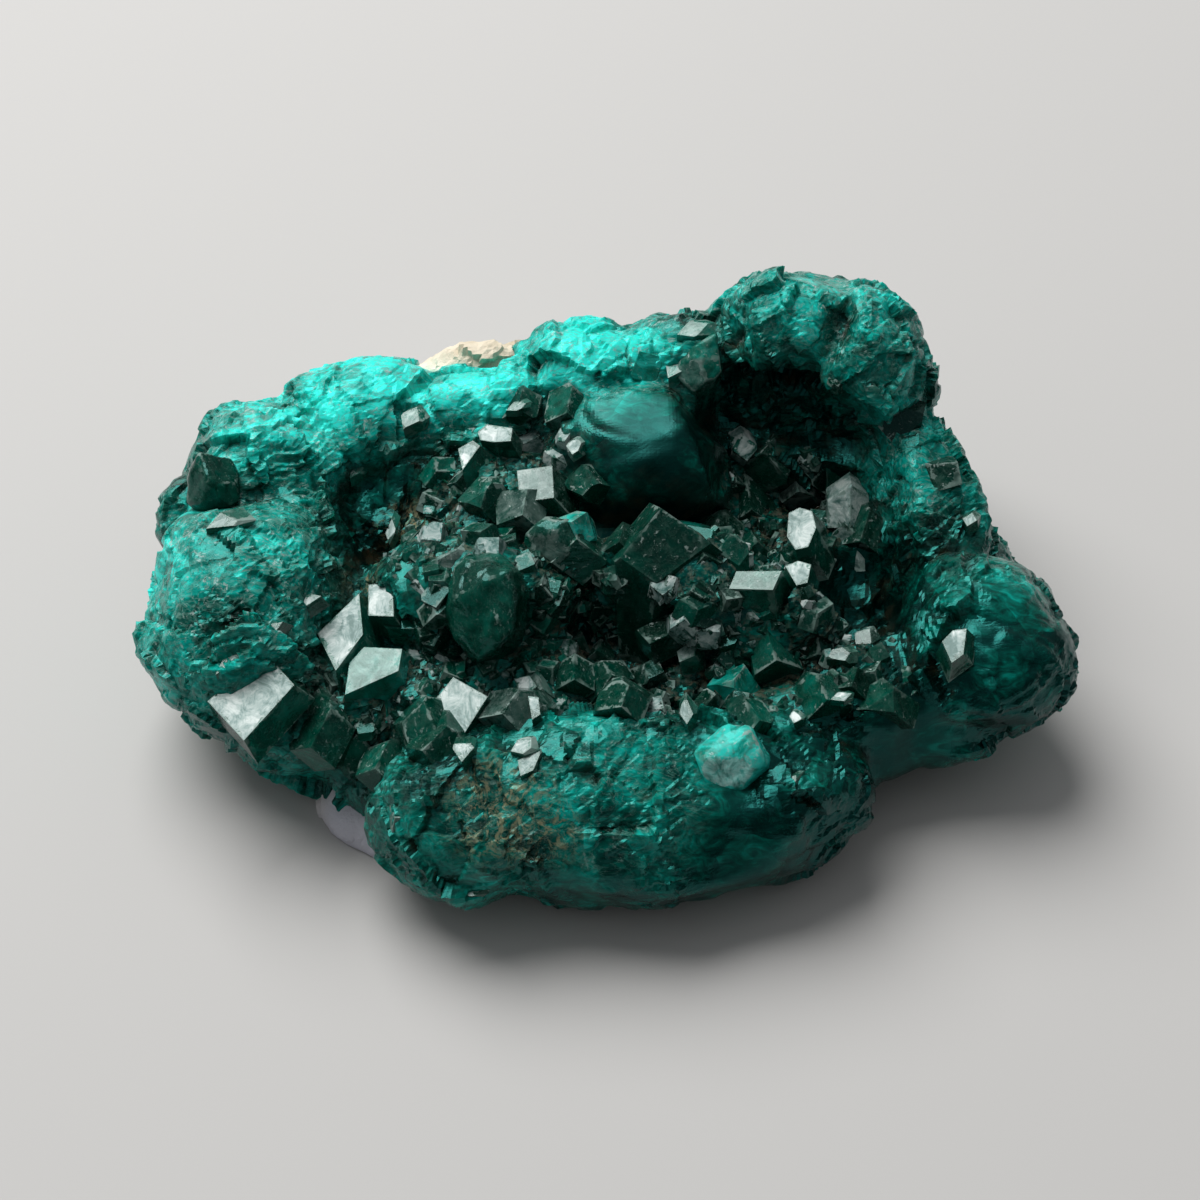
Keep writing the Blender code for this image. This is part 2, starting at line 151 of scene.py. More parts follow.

# Crystals with one face of the point turned level to catch the light: the middle of that
# face, its length and width, the way that its length runs, then tone, pale film on the
# face, which is partly dust and partly a painted reflection of the light, and dust
BRIGHT_CRYSTALS = {
    "small_hexagon": ((-8.7, -14.2, 11.6), 2, 1.4, 265, 0.40, 1, 0.5),
    "low_cluster": ((-4.9, -15.1, 11.2), 2, 1.6, 240, 0.45, 0.8, 0.4),
    "low_pebble": ((-5.2, -13.9, 11.6), 1.5, 1.3, 200, 0.45, 0.9, 0.4),
    "top_chip": ((-2.1, 7.2, 15.2), 1.4, 1.3, 255, 0.40, 0.9, 0.5),
    "left_edge": ((-14.1, 5.2, 9.4), 2.6, 1.1, 265, 0.35, 0.7, 0.3),
    "ledge_chip": ((14.2, -6.4, 11), 1.8, 1.4, 200, 0.35, 0.5, 0.8),
    "grey_wedge": ((4.8, -5.3, 10), 2.6, 2.2, 240, 0.40, 0.5, 0.4),
    "middle_chip": ((4.7, -11.5, 11.8), 2.3, 1.3, 268, 0.40, 0.8, 0.4),
    "middle_flake": ((11.3, -10.9, 10.4), 1, 1, 250, 0.40, 1, 0.4),
    "right_flake": ((14, -9.6, 10.8), 1.4, 0.8, 195, 0.40, 1, 0.4),
    "hollow_chip": ((-16.4, 8.9, 11), 1.6, 1, 240, 0.60, 0.9, 0.3),
    "mound_chip": ((-23.7, 0.6, 15.6), 3, 1.5, 205, 0.45, 0.8, 0.4),
    "edge_chip": ((22.9, 3.3, 12.5), 1.4, 1.2, 250, 0.40, 1, 0.7),
    "back_facet": ((5.3, 14.6, 18.3), 2.4, 1.6, 195, 0.60, 0.3, 0.6),
    "teal_block": ((4.3, 12.8, 16.7), 2.2, 1.6, 240, 0.75, 0.4, 0.5),
    "pale_face": ((-12.8, 10.9, 13.9), 2, 1.6, 240, 0.50, 0.5, 0.5),
    "rim_chip": ((-6, 10.9, 15), 1.6, 0.9, 200, 0.50, 0.8, 0.5),
    "cube": ((10.7, -15.4, 9.4), 2.4, 2, 225, 0.40, 0, 0.5),
    "low_bar": ((-8.2, -20.2, 5.5), 1.6, 0.8, 190, 0.40, 0.8, 0.4),
    "ledge_slab": ((15.9, -4.5, 10.2), 1.7, 1.5, 230, 0.22, 0.15, 0.9),
}

# Crystals broken level, which flash in the photograph: the middle of the level face, how
# deep the crystal goes, tone, pale film on the face, which is partly dust and partly a painted
# reflection of the light, dust, and the face's outline in plan
FLASHES = {
    "kite": ((-16.4, -4.7, 10.8), 3, 0.45, 0.95, 0.5,
        ((-1.7, 0.3), (0.9, 2.9), (1.25, -0.2), (-0.4, -2.6))),
    "step": ((-14.4, -7, 10.5), 2.6, 0.62, 0.35, 0.3,
        ((-1.6, 0.5), (-0.7, 1.5), (1.75, 1), (1.55, -0.55), (-1.8, -1.8))),
    "corner": ((-21.6, -9.8, 11), 2.2, 0.4, 0.85, 0.5,
        ((0.6, 3.1), (2.6, 0.5), (-0.4, -3), (-2.9, 0.1))),
    "strip": ((-21.8, -7.3, 12.8), 1.2, 0.42, 0.55, 0.6,
        ((2, 1.5), (0.9, -0.2), (-2.1, -1.7), (-1.6, -0.5), (0.7, 1.4))),
    "slanting": ((-9.1, -9.7, 10.3), 2.4, 0.35, 0.8, 0.5,
        ((-1.6, 0.3), (-0.4, 1.9), (1.8, 0.2), (0.25, -2.4))),
    "left_step": ((-14.2, -2.8, 11.9), 2, 0.35, 0.9, 0.4,
        ((-0.75, 1.2), (0.8, 1.2), (0.95, -1.4), (-0.7, -1.1))),
    "left_chip": ((-18.6, -3.6, 12.6), 1, 0.45, 0.9, 0.3,
        ((-0.8, 0.1), (0.2, 0.6), (0.9, 0.3), (-0.2, -0.4))),
    "small_white": ((-5.1, -8.4, 10.5), 1.5, 0.4, 1, 0.5,
        ((-0.7, 0.5), (0.3, 0.6), (0.75, -0.3), (-0.25, -0.8))),
    "small_upright": ((-4.5, -11, 11.6), 1.5, 0.4, 0.9, 0.5,
        ((-0.35, 0.8), (0.3, 0.6), (0.4, -0.6), (-0.1, -0.9))),
    "bright_pair": ((-7.3, 9.2, 14.2), 1.8, 0.4, 1, 0.5,
        ((-1.1, 0.3), (-0.5, 0.8), (1.2, 0.2), (1.1, -0.8), (0, -0.7), (-0.9, -0.4))),
    "bright_low": ((-8.9, 7.7, 13.9), 1.5, 0.4, 1, 0.5,
        ((-0.7, 0.5), (0.25, 1), (0.75, 0.5), (-0.4, -1.25))),
    "striated": ((-4.6, 5.1, 13.8), 3, 0.3, 0.35, 1,
        ((-1.2, 1.3), (1.1, 1.3), (1.2, -1.2), (-1, -1.2))),
    "cleft_high": ((12.3, 3.6, 11.2), 3, 0.35, 0.85, 0.6,
        ((-0.7, 1.4), (0, 1.7), (0.8, 1.3), (1, 0), (0.4, -1.4), (-0.4, -1.5), (-0.9, -0.4))),
    "cleft_low": ((11.8, -2, 13.5), 2.5, 0.35, 0.9, 0.6,
        ((-0.8, 0.6), (0, 0.9), (0.8, 0.5), (0.5, -0.8), (-0.2, -0.9))),
    "flash": ((21.1, -7.3, 12.9), 1.5, 0.4, 1, 0.6,
        ((-0.75, 0.4), (-0.05, 1.1), (0.8, 1.1), (0.45, -0.7), (-0.3, -1.2))),
    "flat_top": ((9, -3, 14), 2.4, 0.46, 0.15, 1,
        ((-1.6, -0.4), (-1.1, 0.8), (1.7, 0.4), (1.1, -0.9))),
}

# The middle and reach of every bright face
BRIGHT_FACES = [(row[0], max(math.hypot(x, y) for x, y in row[5])) for row in FLASHES.values()]
BRIGHT_FACES += [(row[0], row[1] / 2) for row in BRIGHT_CRYSTALS.values()]
# Crystals that point up or at the viewer: the tip, radius, lean from upright, the way that
# it leans, turn, tone and dust. At turn 0 one face of the point looks back from the lean.
POINTING_CRYSTALS = {
    "pillar": ((-1.9, -0.4, 15.3), 2.3, 15, 275, 60, 0.34, 0.5),
    "pillar_top": ((-2.3, 0.3, 15.5), 1.3, 30, 250, 30, 0.92, 1.2),
    "pyramid": ((3.7, 0.9, 17.4), 4.3, 12, 100, 0, 0.30, 0.35),
    "pyramid_base": ((6, -1.8, 15), 2.4, 25, 290, 60, 0.24, 0.3),
    "right_block": ((10, -4.5, 12.8), 2.7, 45, 285, 50, 0.44, 0.1),
    "rim_body": ((-2.6, 9.4, 16.2), 2, 40, 265, 55, 0.34, 0.2),
    "rim_low": ((-6, 10.7, 15.1), 1.4, 45, 250, 70, 0.32, 0.3),
    "under_pair": ((-7.7, 7.1, 13.5), 2, 45, 275, 60, 0.46, 0.05),
    "dark_bar": ((-8.3, 3.9, 13.5), 1.8, 50, 250, 45, 0.36, 0.3),
    "dark_middle": ((-5.5, 2, 14.5), 2.2, 40, 270, 50, 0.32, 0.6),
    "under_chip": ((-0.8, 4.7, 14.4), 1.5, 40, 290, 65, 0.34, 0.5),
    "hexagon": ((-2.2, -7.8, 10.3), 1.7, 40, 270, 60, 0.38, 0.3),
    "beside_hexagon": ((-4, -8.4, 10.4), 1.4, 30, 300, 40, 0.34, 0.4),
    "dark_block": ((2.5, -5.6, 11), 1.7, 50, 240, 20, 0.26, 0.6),
    "middle_low": ((0.1, -7.6, 10.1), 2, 35, 290, 70, 0.32, 0.3),
    "middle_front": ((0.7, -12, 12.3), 1.9, 45, 260, 50, 0.34, 0.3),
    "middle_dark": ((0.8, -0.5, 14.8), 2.2, 25, 260, 60, 0.22, 0.3),
    "teal_wedge": ((7.6, -7.8, 10.3), 1.9, 30, 250, 45, 0.66, 0.2),
    "right_low": ((10.7, -7, 10.9), 2.2, 45, 285, 60, 0.42, 0.3),
    "right_front": ((13.3, -10.2, 11), 2, 40, 275, 75, 0.38, 0.3),
    "right_end": ((17, -10.3, 10.4), 2.1, 50, 260, 50, 0.30, 0.3),
    "right_d": ((15, -9, 10.9), 1.7, 45, 260, 50, 0.30, 0.4),
    "right_e": ((16.5, -7.5, 10.8), 1.6, 20, 300, 0, 0.28, 0.6),
    "right_f": ((19, -8.5, 10.1), 1.6, 40, 290, 60, 0.34, 0.3),
    "front_low": ((9.2, -11.8, 11.2), 1.8, 35, 300, 60, 0.38, 0.3),
    # under_step's high tone is a painted glow of light shining through it, below the step's bright face.
    "under_step": ((-13.6, -9.6, 8), 1.8, 60, 275, 60, 0.56, 0),
    "under_corner": ((-18.3, -12.1, 9.4), 2.3, 45, 250, 55, 0.34, 0.2),
    "under_slanting": ((-10.2, -12.1, 10.7), 2.2, 45, 290, 65, 0.36, 0.3),
    "left_hexagon": ((-10.9, -2, 15), 2.3, 25, 230, 50, 0.36, 0.9),
    "left_fan": ((-11.8, -3.4, 13.9), 2.1, 45, 240, 50, 0.40, 0.9),
    "left_blade": ((-12.6, -0.5, 13.4), 1.7, 20, 200, 40, 0.50, 0.9),
    "low_left": ((-13, -17.4, 8.8), 2.4, 35, 240, 0, 0.30, 1.2),
    "front_a": ((-11.5, -13.5, 11.1), 2.4, 45, 230, 55, 0.30, 0.4),
    "front_b": ((-14, -13, 8.2), 2.2, 35, 250, 60, 0.34, 0.5),
    "front_c": ((-17, -11.5, 7.5), 2.4, 50, 235, 45, 0.30, 0.3),
    "front_d": ((-17.4, -9.8, 9.6), 1.7, 30, 280, 70, 0.34, 0.5),
    "front_e": ((-6.5, -12, 11.8), 2.2, 40, 240, 60, 0.28, 0.4),
    "cavity_body": ((9.7, 7.4, 9.4), 2.5, 35, 280, 55, 0.26, 0.2),
    "hollow_a": ((10, 10.2, 11.2), 2, 30, 250, 60, 0.24, 1),
    "hollow_b": ((12.5, 9.2, 8.6), 1.9, 45, 270, 70, 0.24, 1.2),
    "pale_prism": ((15.6, 9.1, 11), 1.5, 50, 90, 60, 0.30, 1.3),
    "pale_foot": ((15.4, 6.9, 9.6), 1.6, 48, 95, 40, 0.28, 1.2),
    "hollow_e": ((16.2, 3.6, 10.2), 2, 55, 250, 60, 0.22, 0.5),
    "hollow_f": ((8, 8.6, 10.2), 1.8, 40, 300, 60, 0.26, 0.9),
    "hollow_g": ((7, 4.5, 10.4), 1.7, 30, 260, 60, 0.26, 1),
    "back_a": ((2, 13.5, 17.5), 1.6, 20, 200, 30, 0.70, 0.5),
    "edge_prism": ((22.8, 5, 13.6), 1.9, 75, 315, 30, 0.22, 0.6),
    "edge_black": ((20.8, 11, 15.3), 1.4, 60, 30, 0, 0.08, 0.1),
}

# Crystals with pale film on every side, and how strong it is. The film is partly dust and partly a
# painted reflection of the light.
PALE_ALL_OVER = {
    "pale_prism": 0.55,
    "pale_foot": 0.40,
    "left_fan": 0.40,
    "left_blade": 0.50,
    "left_hexagon": 0.30,
    "low_left": 0.25,
    "hollow_b": 0.20,
    "beside_hexagon": 0.20,
    "dark_middle": 0.20,
    "front_e": 0.15,
}
# The small crystals' pale film is partly dust and partly painted glints.
PALE_CRUMBS = 0.20  # share of the small crystals, and how strong their film is
CRUMB_FILM_AND_GLINT = 0.8

# Large crystals that are worn round: middle, half sizes, turn, tone, dust and how strong the
# pale film is on the side that looks to the front left, partly dust and partly a painted reflection
# of the light
WORN_BODIES = {
    "round": ((-7.5, -4.2, 12.9), (2.7, 3.2, 3.2), 0, 0.30, 0.05, 0),
    "mound_oval": ((-25.2, 5.5, 12.8), (1.8, 1.7, 2), -30, 0.34, 0.05, 0),
    "cavity_green": ((5.9, 13.2, 15.9), (1.6, 1.6, 1.9), 0, 0.52, 0.9, 0.2),
    "turquoise": ((7.3, -13.5, 9.3), (2.3, 2.1, 2.2), 20, 0.96, 1, 0.6),
    "pillar_shoulder": ((-3.2, 0.6, 13.4), (1.8, 1.6, 1.8), 0, 0.36, 0.5, 0.2),
}

# Where small crystals are tried: middle and half sizes of plan ovals, and how many of the
# larger ones, of the middle sized ones between them, and of the finest druse
SMALL_CRYSTALS = [
    ((-6, 2), (8, 9), 20, 150, 350),
    ((5, -4), (13, 6), 22, 200, 450),
    ((-13, -8), (6, 3.5), 8, 60, 150),
    ((11, 6.5), (5, 5), 12, 70, 200),
]
SMALL_RADIUS = (0.9, 1.8)
MIDDLE_RADIUS = (0.5, 1.3)
DRUSE_RADIUS = (0.2, 0.5)
KINDS = 24  # of small crystal
CLEARANCE = 0.3  # between the tip of a small crystal and the named ones
DRUSE_CLEARANCE = 0.1
SMALL_PROUD = 0.7
SMALL_TILT = 0.45
DRUSE_TILT = 0.6
OPEN_SKY = 3.0
GROUND = 4.0  # the lowest place where they grow

# Where the crust is brighter or darker than its usual tone: middle, reach and tone. The tones are
# partly the crust's own colour and partly painted light: the bright turquoise on the back rim and the
# left edge is painted light shining on and through them, and the darkest tones in the hollows, the
# clefts and low on the front and right side are painted shade.
BASE_TONE = 0.40
BASE_WEIGHT = 0.35
TONES_AND_PAINTED_LIGHT = [
    ((-28, 1, 11), 4, 0.90),
    ((-28.4, -2.6, 9), 3.5, 0.92),
    ((-21.4, -2.2, 14.9), 5, 0.70),
    ((-25, -5, 12), 4, 0.60),
    ((-20.5, 10.4, 14.1), 4.5, 1.10),
    ((-18.2, 14.7, 13.9), 4, 1.10),
    ((-13.9, 14, 14.9), 3.5, 1.10),
    ((-8.3, 13.2, 15), 3.5, 1.18),
    ((-2.4, 14.3, 17), 3.5, 1.20),
    ((1.6, 13.8, 16.3), 2.5, 1.20),
    ((-0.4, 10.4, 17), 1.8, 0.55),
    ((4.5, 11, 15), 1.5, 0.50),
    ((2.2, 8, 15.8), 4, 0.16),
    ((5.8, 6.9, 15), 3, 0.04),
    ((12.2, 14.2, 21.5), 5.5, 0.72),
    ((17.3, 13.3, 20.3), 3, 0.66),
    ((11, 10.5, 15), 4.5, 0.02),
    ((18, 9.1, 15.5), 3, 0.68),
    ((18.6, 5.9, 13.3), 3, 0.62),
    ((21.3, -1.7, 12.4), 4, 0.32),
    ((24.1, -6, 11), 3.2, 0.08),
    ((26.7, -7.6, 8.9), 4, 0.02),
    ((0.7, -14.4, 10.8), 4, 0.48),
    ((-1.7, -18.7, 8.6), 4, 0.52),
    ((4.2, -18.5, 9.3), 4, 0.48),
    ((9.5, -17.5, 7), 4.5, 0.06),
    ((6, -19.5, 5), 4.5, 0.10),
    ((13, -15, 5), 4, 0.04),
    ((17, -11, 5), 4.5, 0.04),
    ((-2, -20, 4.5), 4, 0.28),
    ((-9, -19, 4.5), 4, 0.24),
    ((-7.6, -18, 8.6), 3.5, 0.44),
    ((-14, -12, 8), 3.5, 0.40),
    ((18, -9.3, 8), 4.5, 0.10),
    ((-6, 1, 12), 8, 0.25),
    ((5, -3, 10), 8, 0.20),
    ((12, 7, 8), 4.5, 0.20),
    ((-10, -10, 9), 6, 0.25),
    ((15.5, -0.5, 9), 4.5, -0.20),
    ((1, -4, 9.5), 2.5, -0.10),
    ((-14.5, 6, 9), 3.5, 0.05),
]

# Where soil and rust have gathered: middle and reach
SOIL = [
    ((-6.5, -17.3, 10), 4.2),
    ((-3.5, -18.5, 9), 2.5),
    ((-14.8, -0.5, 10.5), 2.2),
    ((-13, 5.5, 9), 2.5),
]

# Dark clefts that run deeper than the solids show: middle, reach and depth
CLEFTS = [
    ((-14.5, 7), 3, 2),
    ((-14, 3.5), 2, 1.5),
    ((1, -4.6), 2.4, 2),
    ((16, 0.2), 4, 4),
    ((11.5, 9), 3, 0.8),
]

# Where a wall is hollowed under an overhang: middle, half sizes and push
HOLLOWS = [
    ((11.8, 9.5, 14), (6.2, 4.5, 3.4), (0, 1.9, -0.3)),
    ((1, -3.6, 10), (3.5, 2.5, 3), (0, 1.6, -0.6)),
]

# Where the crust is smooth and waxy instead of broken: middle and reach
SMOOTH = [
    ((2.8, 6.8, 13), 7.2),
    ((-25.5, 4.5, 12.5), 3),
    ((24, -5, 9), 5),
    ((8, -17, 5), 5.5),
    ((-1, -18, 5), 4),
    ((19, -10, 6), 4.5),
]

# How shut in the crust is, which darkens it as painted shade and brings grime: how many rays are sent
# from each point, and how far
RAYS = 10
RAY_START = 0.1
RAY_SPREAD = 0.9
RAY_REACH = 4.0

CAMERA_TARGET = Vector((-0.5, 0.0, 8.5)) * MM + SHIFT
CAMERA_ELEVATION = 50.0
CAMERA_DISTANCE = 180 * MM
CAMERA_LENS = 84.78
KEY_SIDE = Vector((-0.344, 0.446, 0.825))
KEY_DISTANCE = 0.5
KEY_TARGET = Vector((0, 0, 0.01))
KEY_SIZE = 0.44
KEY_POWER = 3.3
SKY_SIDE = (-0.20, 0.45, 0.87)
FLOOR_HALF = 1.5


def placed(name, data):
    made = bpy.data.objects.new(name, data)
    bpy.context.scene.collection.objects.link(made)
    return made


def object_from(bm, name):
    mesh = bpy.data.meshes.new(name)
    bm.to_mesh(mesh)
    bm.free()
    return placed(name, mesh)


def remeshed(thing, voxel, rounds):
    """Joins what overlaps into one skin of even points, and smooths it."""
    remesh = thing.modifiers.new("join", "REMESH")
    remesh.mode = "VOXEL"
    remesh.voxel_size = voxel
    smooth = thing.modifiers.new("blend", "SMOOTH")
    smooth.factor = 0.5
    smooth.iterations = rounds
    bpy.context.view_layer.update()
    graph = bpy.context.evaluated_depsgraph_get()
    mesh = bpy.data.meshes.new_from_object(thing.evaluated_get(graph))
    thing.modifiers.clear()
    thing.data = mesh
    return thing


def unit_vector(rng):
    return Vector((rng.gauss(0, 1), rng.gauss(0, 1), rng.gauss(0, 1))).normalized()


def heading_vector(degrees):
    return Vector((math.cos(math.radians(degrees)), math.sin(math.radians(degrees)), 0))


def add_mass(bm, middle, half, turn, rng):
    """A ball that is broken flat on several sides, and then stretched and turned."""
    made = bmesh.ops.create_icosphere(bm, subdivisions=4, radius=1.0)
    breaks = [(unit_vector(rng), rng.uniform(*BREAK_DEPTH)) for _ in range(BREAKS)]
    for vert in made["verts"]:
        for side, depth in breaks:
            over = vert.co.dot(side) - depth
            if over > 0:
                vert.co -= over * side
    place = (
        Matrix.Translation(Vector(middle) * MM)
        @ Matrix.Rotation(math.radians(turn), 4, "Z")
        @ Matrix.Diagonal((*(Vector(half) * MM), 1.0))
    )
    bmesh.ops.transform(bm, matrix=place, verts=made["verts"])


def joined_masses(name, masses, voxel, rng):
    bm = bmesh.new()
    for middle, half, turn in masses.values():
        add_mass(bm, middle, half, turn, rng)
    return remeshed(object_from(bm, name), voxel * MM, BLEND_ROUNDS)


def points_of(mesh, what="co"):
    values = np.empty(len(mesh.vertices) * 3, np.float32)
    mesh.vertices.foreach_get(what, values)
    return values.reshape(-1, 3)


def set_points(mesh, points):
    mesh.vertices.foreach_set("co", points.astype(np.float32).ravel())
    mesh.update()


def raise_surface(mesh, rise):
    set_points(mesh, points_of(mesh) + points_of(mesh, "normal") * rise[:, None])


def noise_at(points, spacing, shift=(0, 0, 0)):
    return np.array([noise.noise(Vector(p) / (spacing * MM) + Vector(shift)) for p in points])


def inside(points, places, steepness):
    """From 1 in the places, each a middle and a reach, to 0 outside them."""
    share = np.zeros(len(points))
    for middle, reach in places:
        away = np.linalg.norm(points / MM - np.array(middle), axis=1) / reach
        share = np.maximum(share, np.clip(steepness * (1 - away), 0, 1))
    return share


def smoothness(points):
    return inside(points, SMOOTH, 1.6)


def brokenness(points):
    """How rough the crust is, in patches, and least of all in the smooth places."""
    patches = noise_at(points, 4.0, (3, 8, 1))
    return np.clip(0.7 + 1.1 * patches, 0.3, 1) * (1 - 0.92 * smoothness(points))


def oval_distance(points, middle, half):
    """How far each point is from the middle of a plan oval, in the oval's half sizes."""
    across = (points[:, 0] / MM - middle[0]) / half[0]
    along = (points[:, 1] / MM - middle[1]) / half[1]
    return np.hypot(across, along)


def break_into_facets(mesh, broken, spacing, relief, tilt, rng):
    """Tilts each patch of the surface its own way, as on broken rock."""
    points = points_of(mesh)
    count = int(sum(p.area for p in mesh.polygons) / (spacing * MM) ** 2)
    seeds = [points[rng.randrange(len(points))] for _ in range(count)]
    tree = KDTree(count)
    for index, seed in enumerate(seeds):
        tree.insert(seed, index)
    tree.balance()
    nearest = np.array([tree.find(p)[1] for p in points])
    tilts = np.array([unit_vector(rng) * tilt for _ in seeds])
    lifts = np.array([rng.uniform(-relief, relief) * MM for _ in seeds])
    away = points - np.array(seeds)[nearest]
    raise_surface(mesh, (lifts[nearest] + np.einsum("ij,ij->i", tilts[nearest], away)) * broken)


def lay_layers(mesh, broken):
    """Slanting steps, as on rock that breaks in layers. They come and go in patches."""
    points = points_of(mesh)
    along = points @ np.array(LAYER_AXIS) / (LAYER_PITCH * MM)
    rise = ((along + LAYER_WARP * noise_at(points, WARP_SPACING)) % 1.0 - 0.5) * LAYER_RELIEF * MM
    rise *= np.clip(0.55 + 1.6 * noise_at(points, 5.0, (9, 3, 5)), 0, 1) * broken
    raise_surface(mesh, rise)


def wear_smooth(mesh):
    """Wears the steps away where the crust is smooth."""
    points = points_of(mesh)
    worn = WEAR_SHARE * smoothness(points)[:, None]
    pairs = np.array([edge.vertices[:] for edge in mesh.edges])
    count = np.bincount(pairs.ravel(), minlength=len(points))[:, None]
    for _ in range(WEAR_ROUNDS):
        total = np.zeros_like(points)
        np.add.at(total, pairs[:, 0], points[pairs[:, 1]])
        np.add.at(total, pairs[:, 1], points[pairs[:, 0]])
        points += worn * (total / count - points)
    set_points(mesh, points)


def sink_clefts(mesh):
    points = points_of(mesh)
    for (x, y), reach, depth in CLEFTS:
        away = np.hypot(points[:, 0] - x * MM, points[:, 1] - y * MM) / (reach * MM)
        points[:, 2] -= depth * MM * np.clip(1 - away**2, 0, 1) * (points[:, 2] > CLEFT_FLOOR * MM)
    set_points(mesh, points)


def carve_hollows(mesh):
    """The fourth powers make each hollow square, with a crisp ledge over it."""
    points = points_of(mesh)
    for middle, half, push in HOLLOWS:
        away = np.linalg.norm((points / MM - np.array(middle)) / np.array(half), axis=1, ord=4)
        points += np.clip(1.6 * (1 - away**4), 0, 1)[:, None] * np.array(push) * MM
    set_points(mesh, points)


def flatten_base(mesh):
    points = points_of(mesh)
    points[:, 2] = np.maximum(points[:, 2], 0)
    set_points(mesh, points)


def crystal_planes(rng, length, broken_corners=0.0):
    """The planes that bound a crystal of radius 1 with its tip near the origin and its axis
    along Z: the three faces of the point, six sides, the foot, and the broken places, which
    are up to two on a plain crystal and up to eight where its corners are broken too. Each is
    at its own distance. A plane is a place on it and the direction out."""
    planes = []

    def add(out, low, high):
        out = out.normalized()
        planes.append((out * rng.uniform(low, high), out))

    for k in range(3):
        add(heading_vector(90 + 120 * k) * POINT_SLOPE + UP, *FACE_SHIFT)
    for k in range(6):
        side = heading_vector(60 * k)
        planes.append((side * SIDE_DISTANCE * (1 - rng.uniform(*SIDE_SHIFT)), side))
    planes.append((-UP * length, -UP))
    for corner in CORNERS:
        if rng.random() < broken_corners:
            out = heading_vector(corner + rng.uniform(-CORNER_TURN, CORNER_TURN))
            add(out + UP * rng.uniform(*CORNER_RISE), *CORNER_BREAK)
    if rng.random() < broken_corners:
        add(heading_vector(rng.uniform(0, 180)) * TIP_LEAN + UP, *TIP_BREAK)
    for _ in range(rng.randrange(3) + (2 if broken_corners else 0)):
        add(heading_vector(rng.uniform(0, 360)) + UP * rng.uniform(*CHIP_RISE), *CHIP_BREAK)
    return planes


def body_planes(rng):
    """The planes of a body of radius 1. The first is the side that may be pale, partly with dust and
    partly with a painted reflection of the light.
    """
    sides = [unit_vector(rng) for _ in range(BODY_SIDES)]
    planes = [(side * rng.uniform(*BODY_DISTANCE), side) for side in sides]
    return [(FRONT_LEFT * PALE_SIDE_DISTANCE, FRONT_LEFT)] + planes


def flash_planes(rng, outline, depth):
    """The planes of a crystal in millimetres whose level face, at height 0, has an outline."""
    planes = [(Vector((0, 0, 0)), UP), (-UP * depth, -UP)]
    corners = [Vector((x, y, 0)) for x, y in outline]
    for a, b in zip(corners, corners[1:] + corners[:1]):
        out = (b - a).cross(UP).normalized()
        if out.dot(a) < 0:
            out = -out
        planes.append((a, (out + UP * rng.uniform(*FLARE)).normalized()))
    return planes


def cut_solid(planes):
    """What the planes leave of a cube."""
    bm = bmesh.new()
    bmesh.ops.create_cube(bm, size=CUBE_TO_CUT)
    for place, outward in planes:
        whole = [*bm.verts, *bm.edges, *bm.faces]
        made = bmesh.ops.bisect_plane(bm, geom=whole, plane_co=place, plane_no=outward, clear_outer=True)
        cut = [e for e in made["geom_cut"] if isinstance(e, bmesh.types.BMEdge)]
        if cut:
            bmesh.ops.edgenet_fill(bm, edges=cut)
    bmesh.ops.remove_doubles(bm, verts=bm.verts, dist=1e-4)
    bmesh.ops.recalc_face_normals(bm, faces=bm.faces)
    return bm


def axis_turn(lean, heading, turn):
    return (
        Matrix.Rotation(math.radians(heading), 3, "Z")
        @ Matrix.Rotation(math.radians(lean), 3, "Y")
        @ Matrix.Rotation(math.radians(turn + 90), 3, "Z")
    )


def any_turn(axis, rng):
    return axis.to_track_quat("Z", "X").to_matrix() @ Matrix.Rotation(rng.uniform(0, math.pi), 3, "Z")


def point_on(tree, plan, proud):
    over = Vector((plan[0], plan[1], ABOVE_ALL)) * MM
    hit, normal, _, _ = tree.ray_cast(over, -UP)
    if hit is None:
        hit, normal, _, _ = tree.find_nearest(Vector((plan[0], plan[1], EDGE_HEIGHT)) * MM)
    return hit + Vector((0, 0, proud * MM)), normal


class SharpShape:
    """A crystal's points and faces. Each face has a narrow rim and its own shade. "inward"
    is how far a point is from the nearest edge, in radii. The first plane is the face that
    may be pale, partly with dust and partly with a painted reflection of the light."""

    def __init__(self, rng, planes):
        bm = cut_solid(planes)
        bm.verts.index_update()
        pale_side = planes[0][1]
        rows = [(v.co[:], 0.0, 0.0, 0.0) for v in bm.verts]
        self.faces = []
        for face in bm.faces:
            shade = rng.uniform(-1, 1)
            film_and_reflection = 1.0 if face.normal.dot(pale_side) > 0.99 else 0.0
            outer = [v.index for v in face.verts]
            corners = [v.co for v in face.verts]
            middle = face.calc_center_median()
            reach = min(
                ((b - a).cross(middle - a).length / max((b - a).length, 1e-6))
                for a, b in zip(corners, corners[1:] + corners[:1])
            )
            share = min(0.4, RIM / max(reach, 1e-6))
            inner = len(rows)
            hub = inner + len(corners)
            rows += [(middle.lerp(c, 1 - share)[:], reach * share, shade, film_and_reflection) for c in corners]
            rows.append((middle[:], reach, shade, film_and_reflection))
            for k, corner in enumerate(outer):
                nxt = (k + 1) % len(outer)
                self.faces.append([corner, outer[nxt], inner + nxt, inner + k])
                self.faces.append([inner + k, inner + nxt, hub])
        bm.free()
        self.points = np.array([row[0] for row in rows])
        self.inward, self.shade, self.film_and_reflection = np.array([row[1:] for row in rows]).T
        self.normals = None


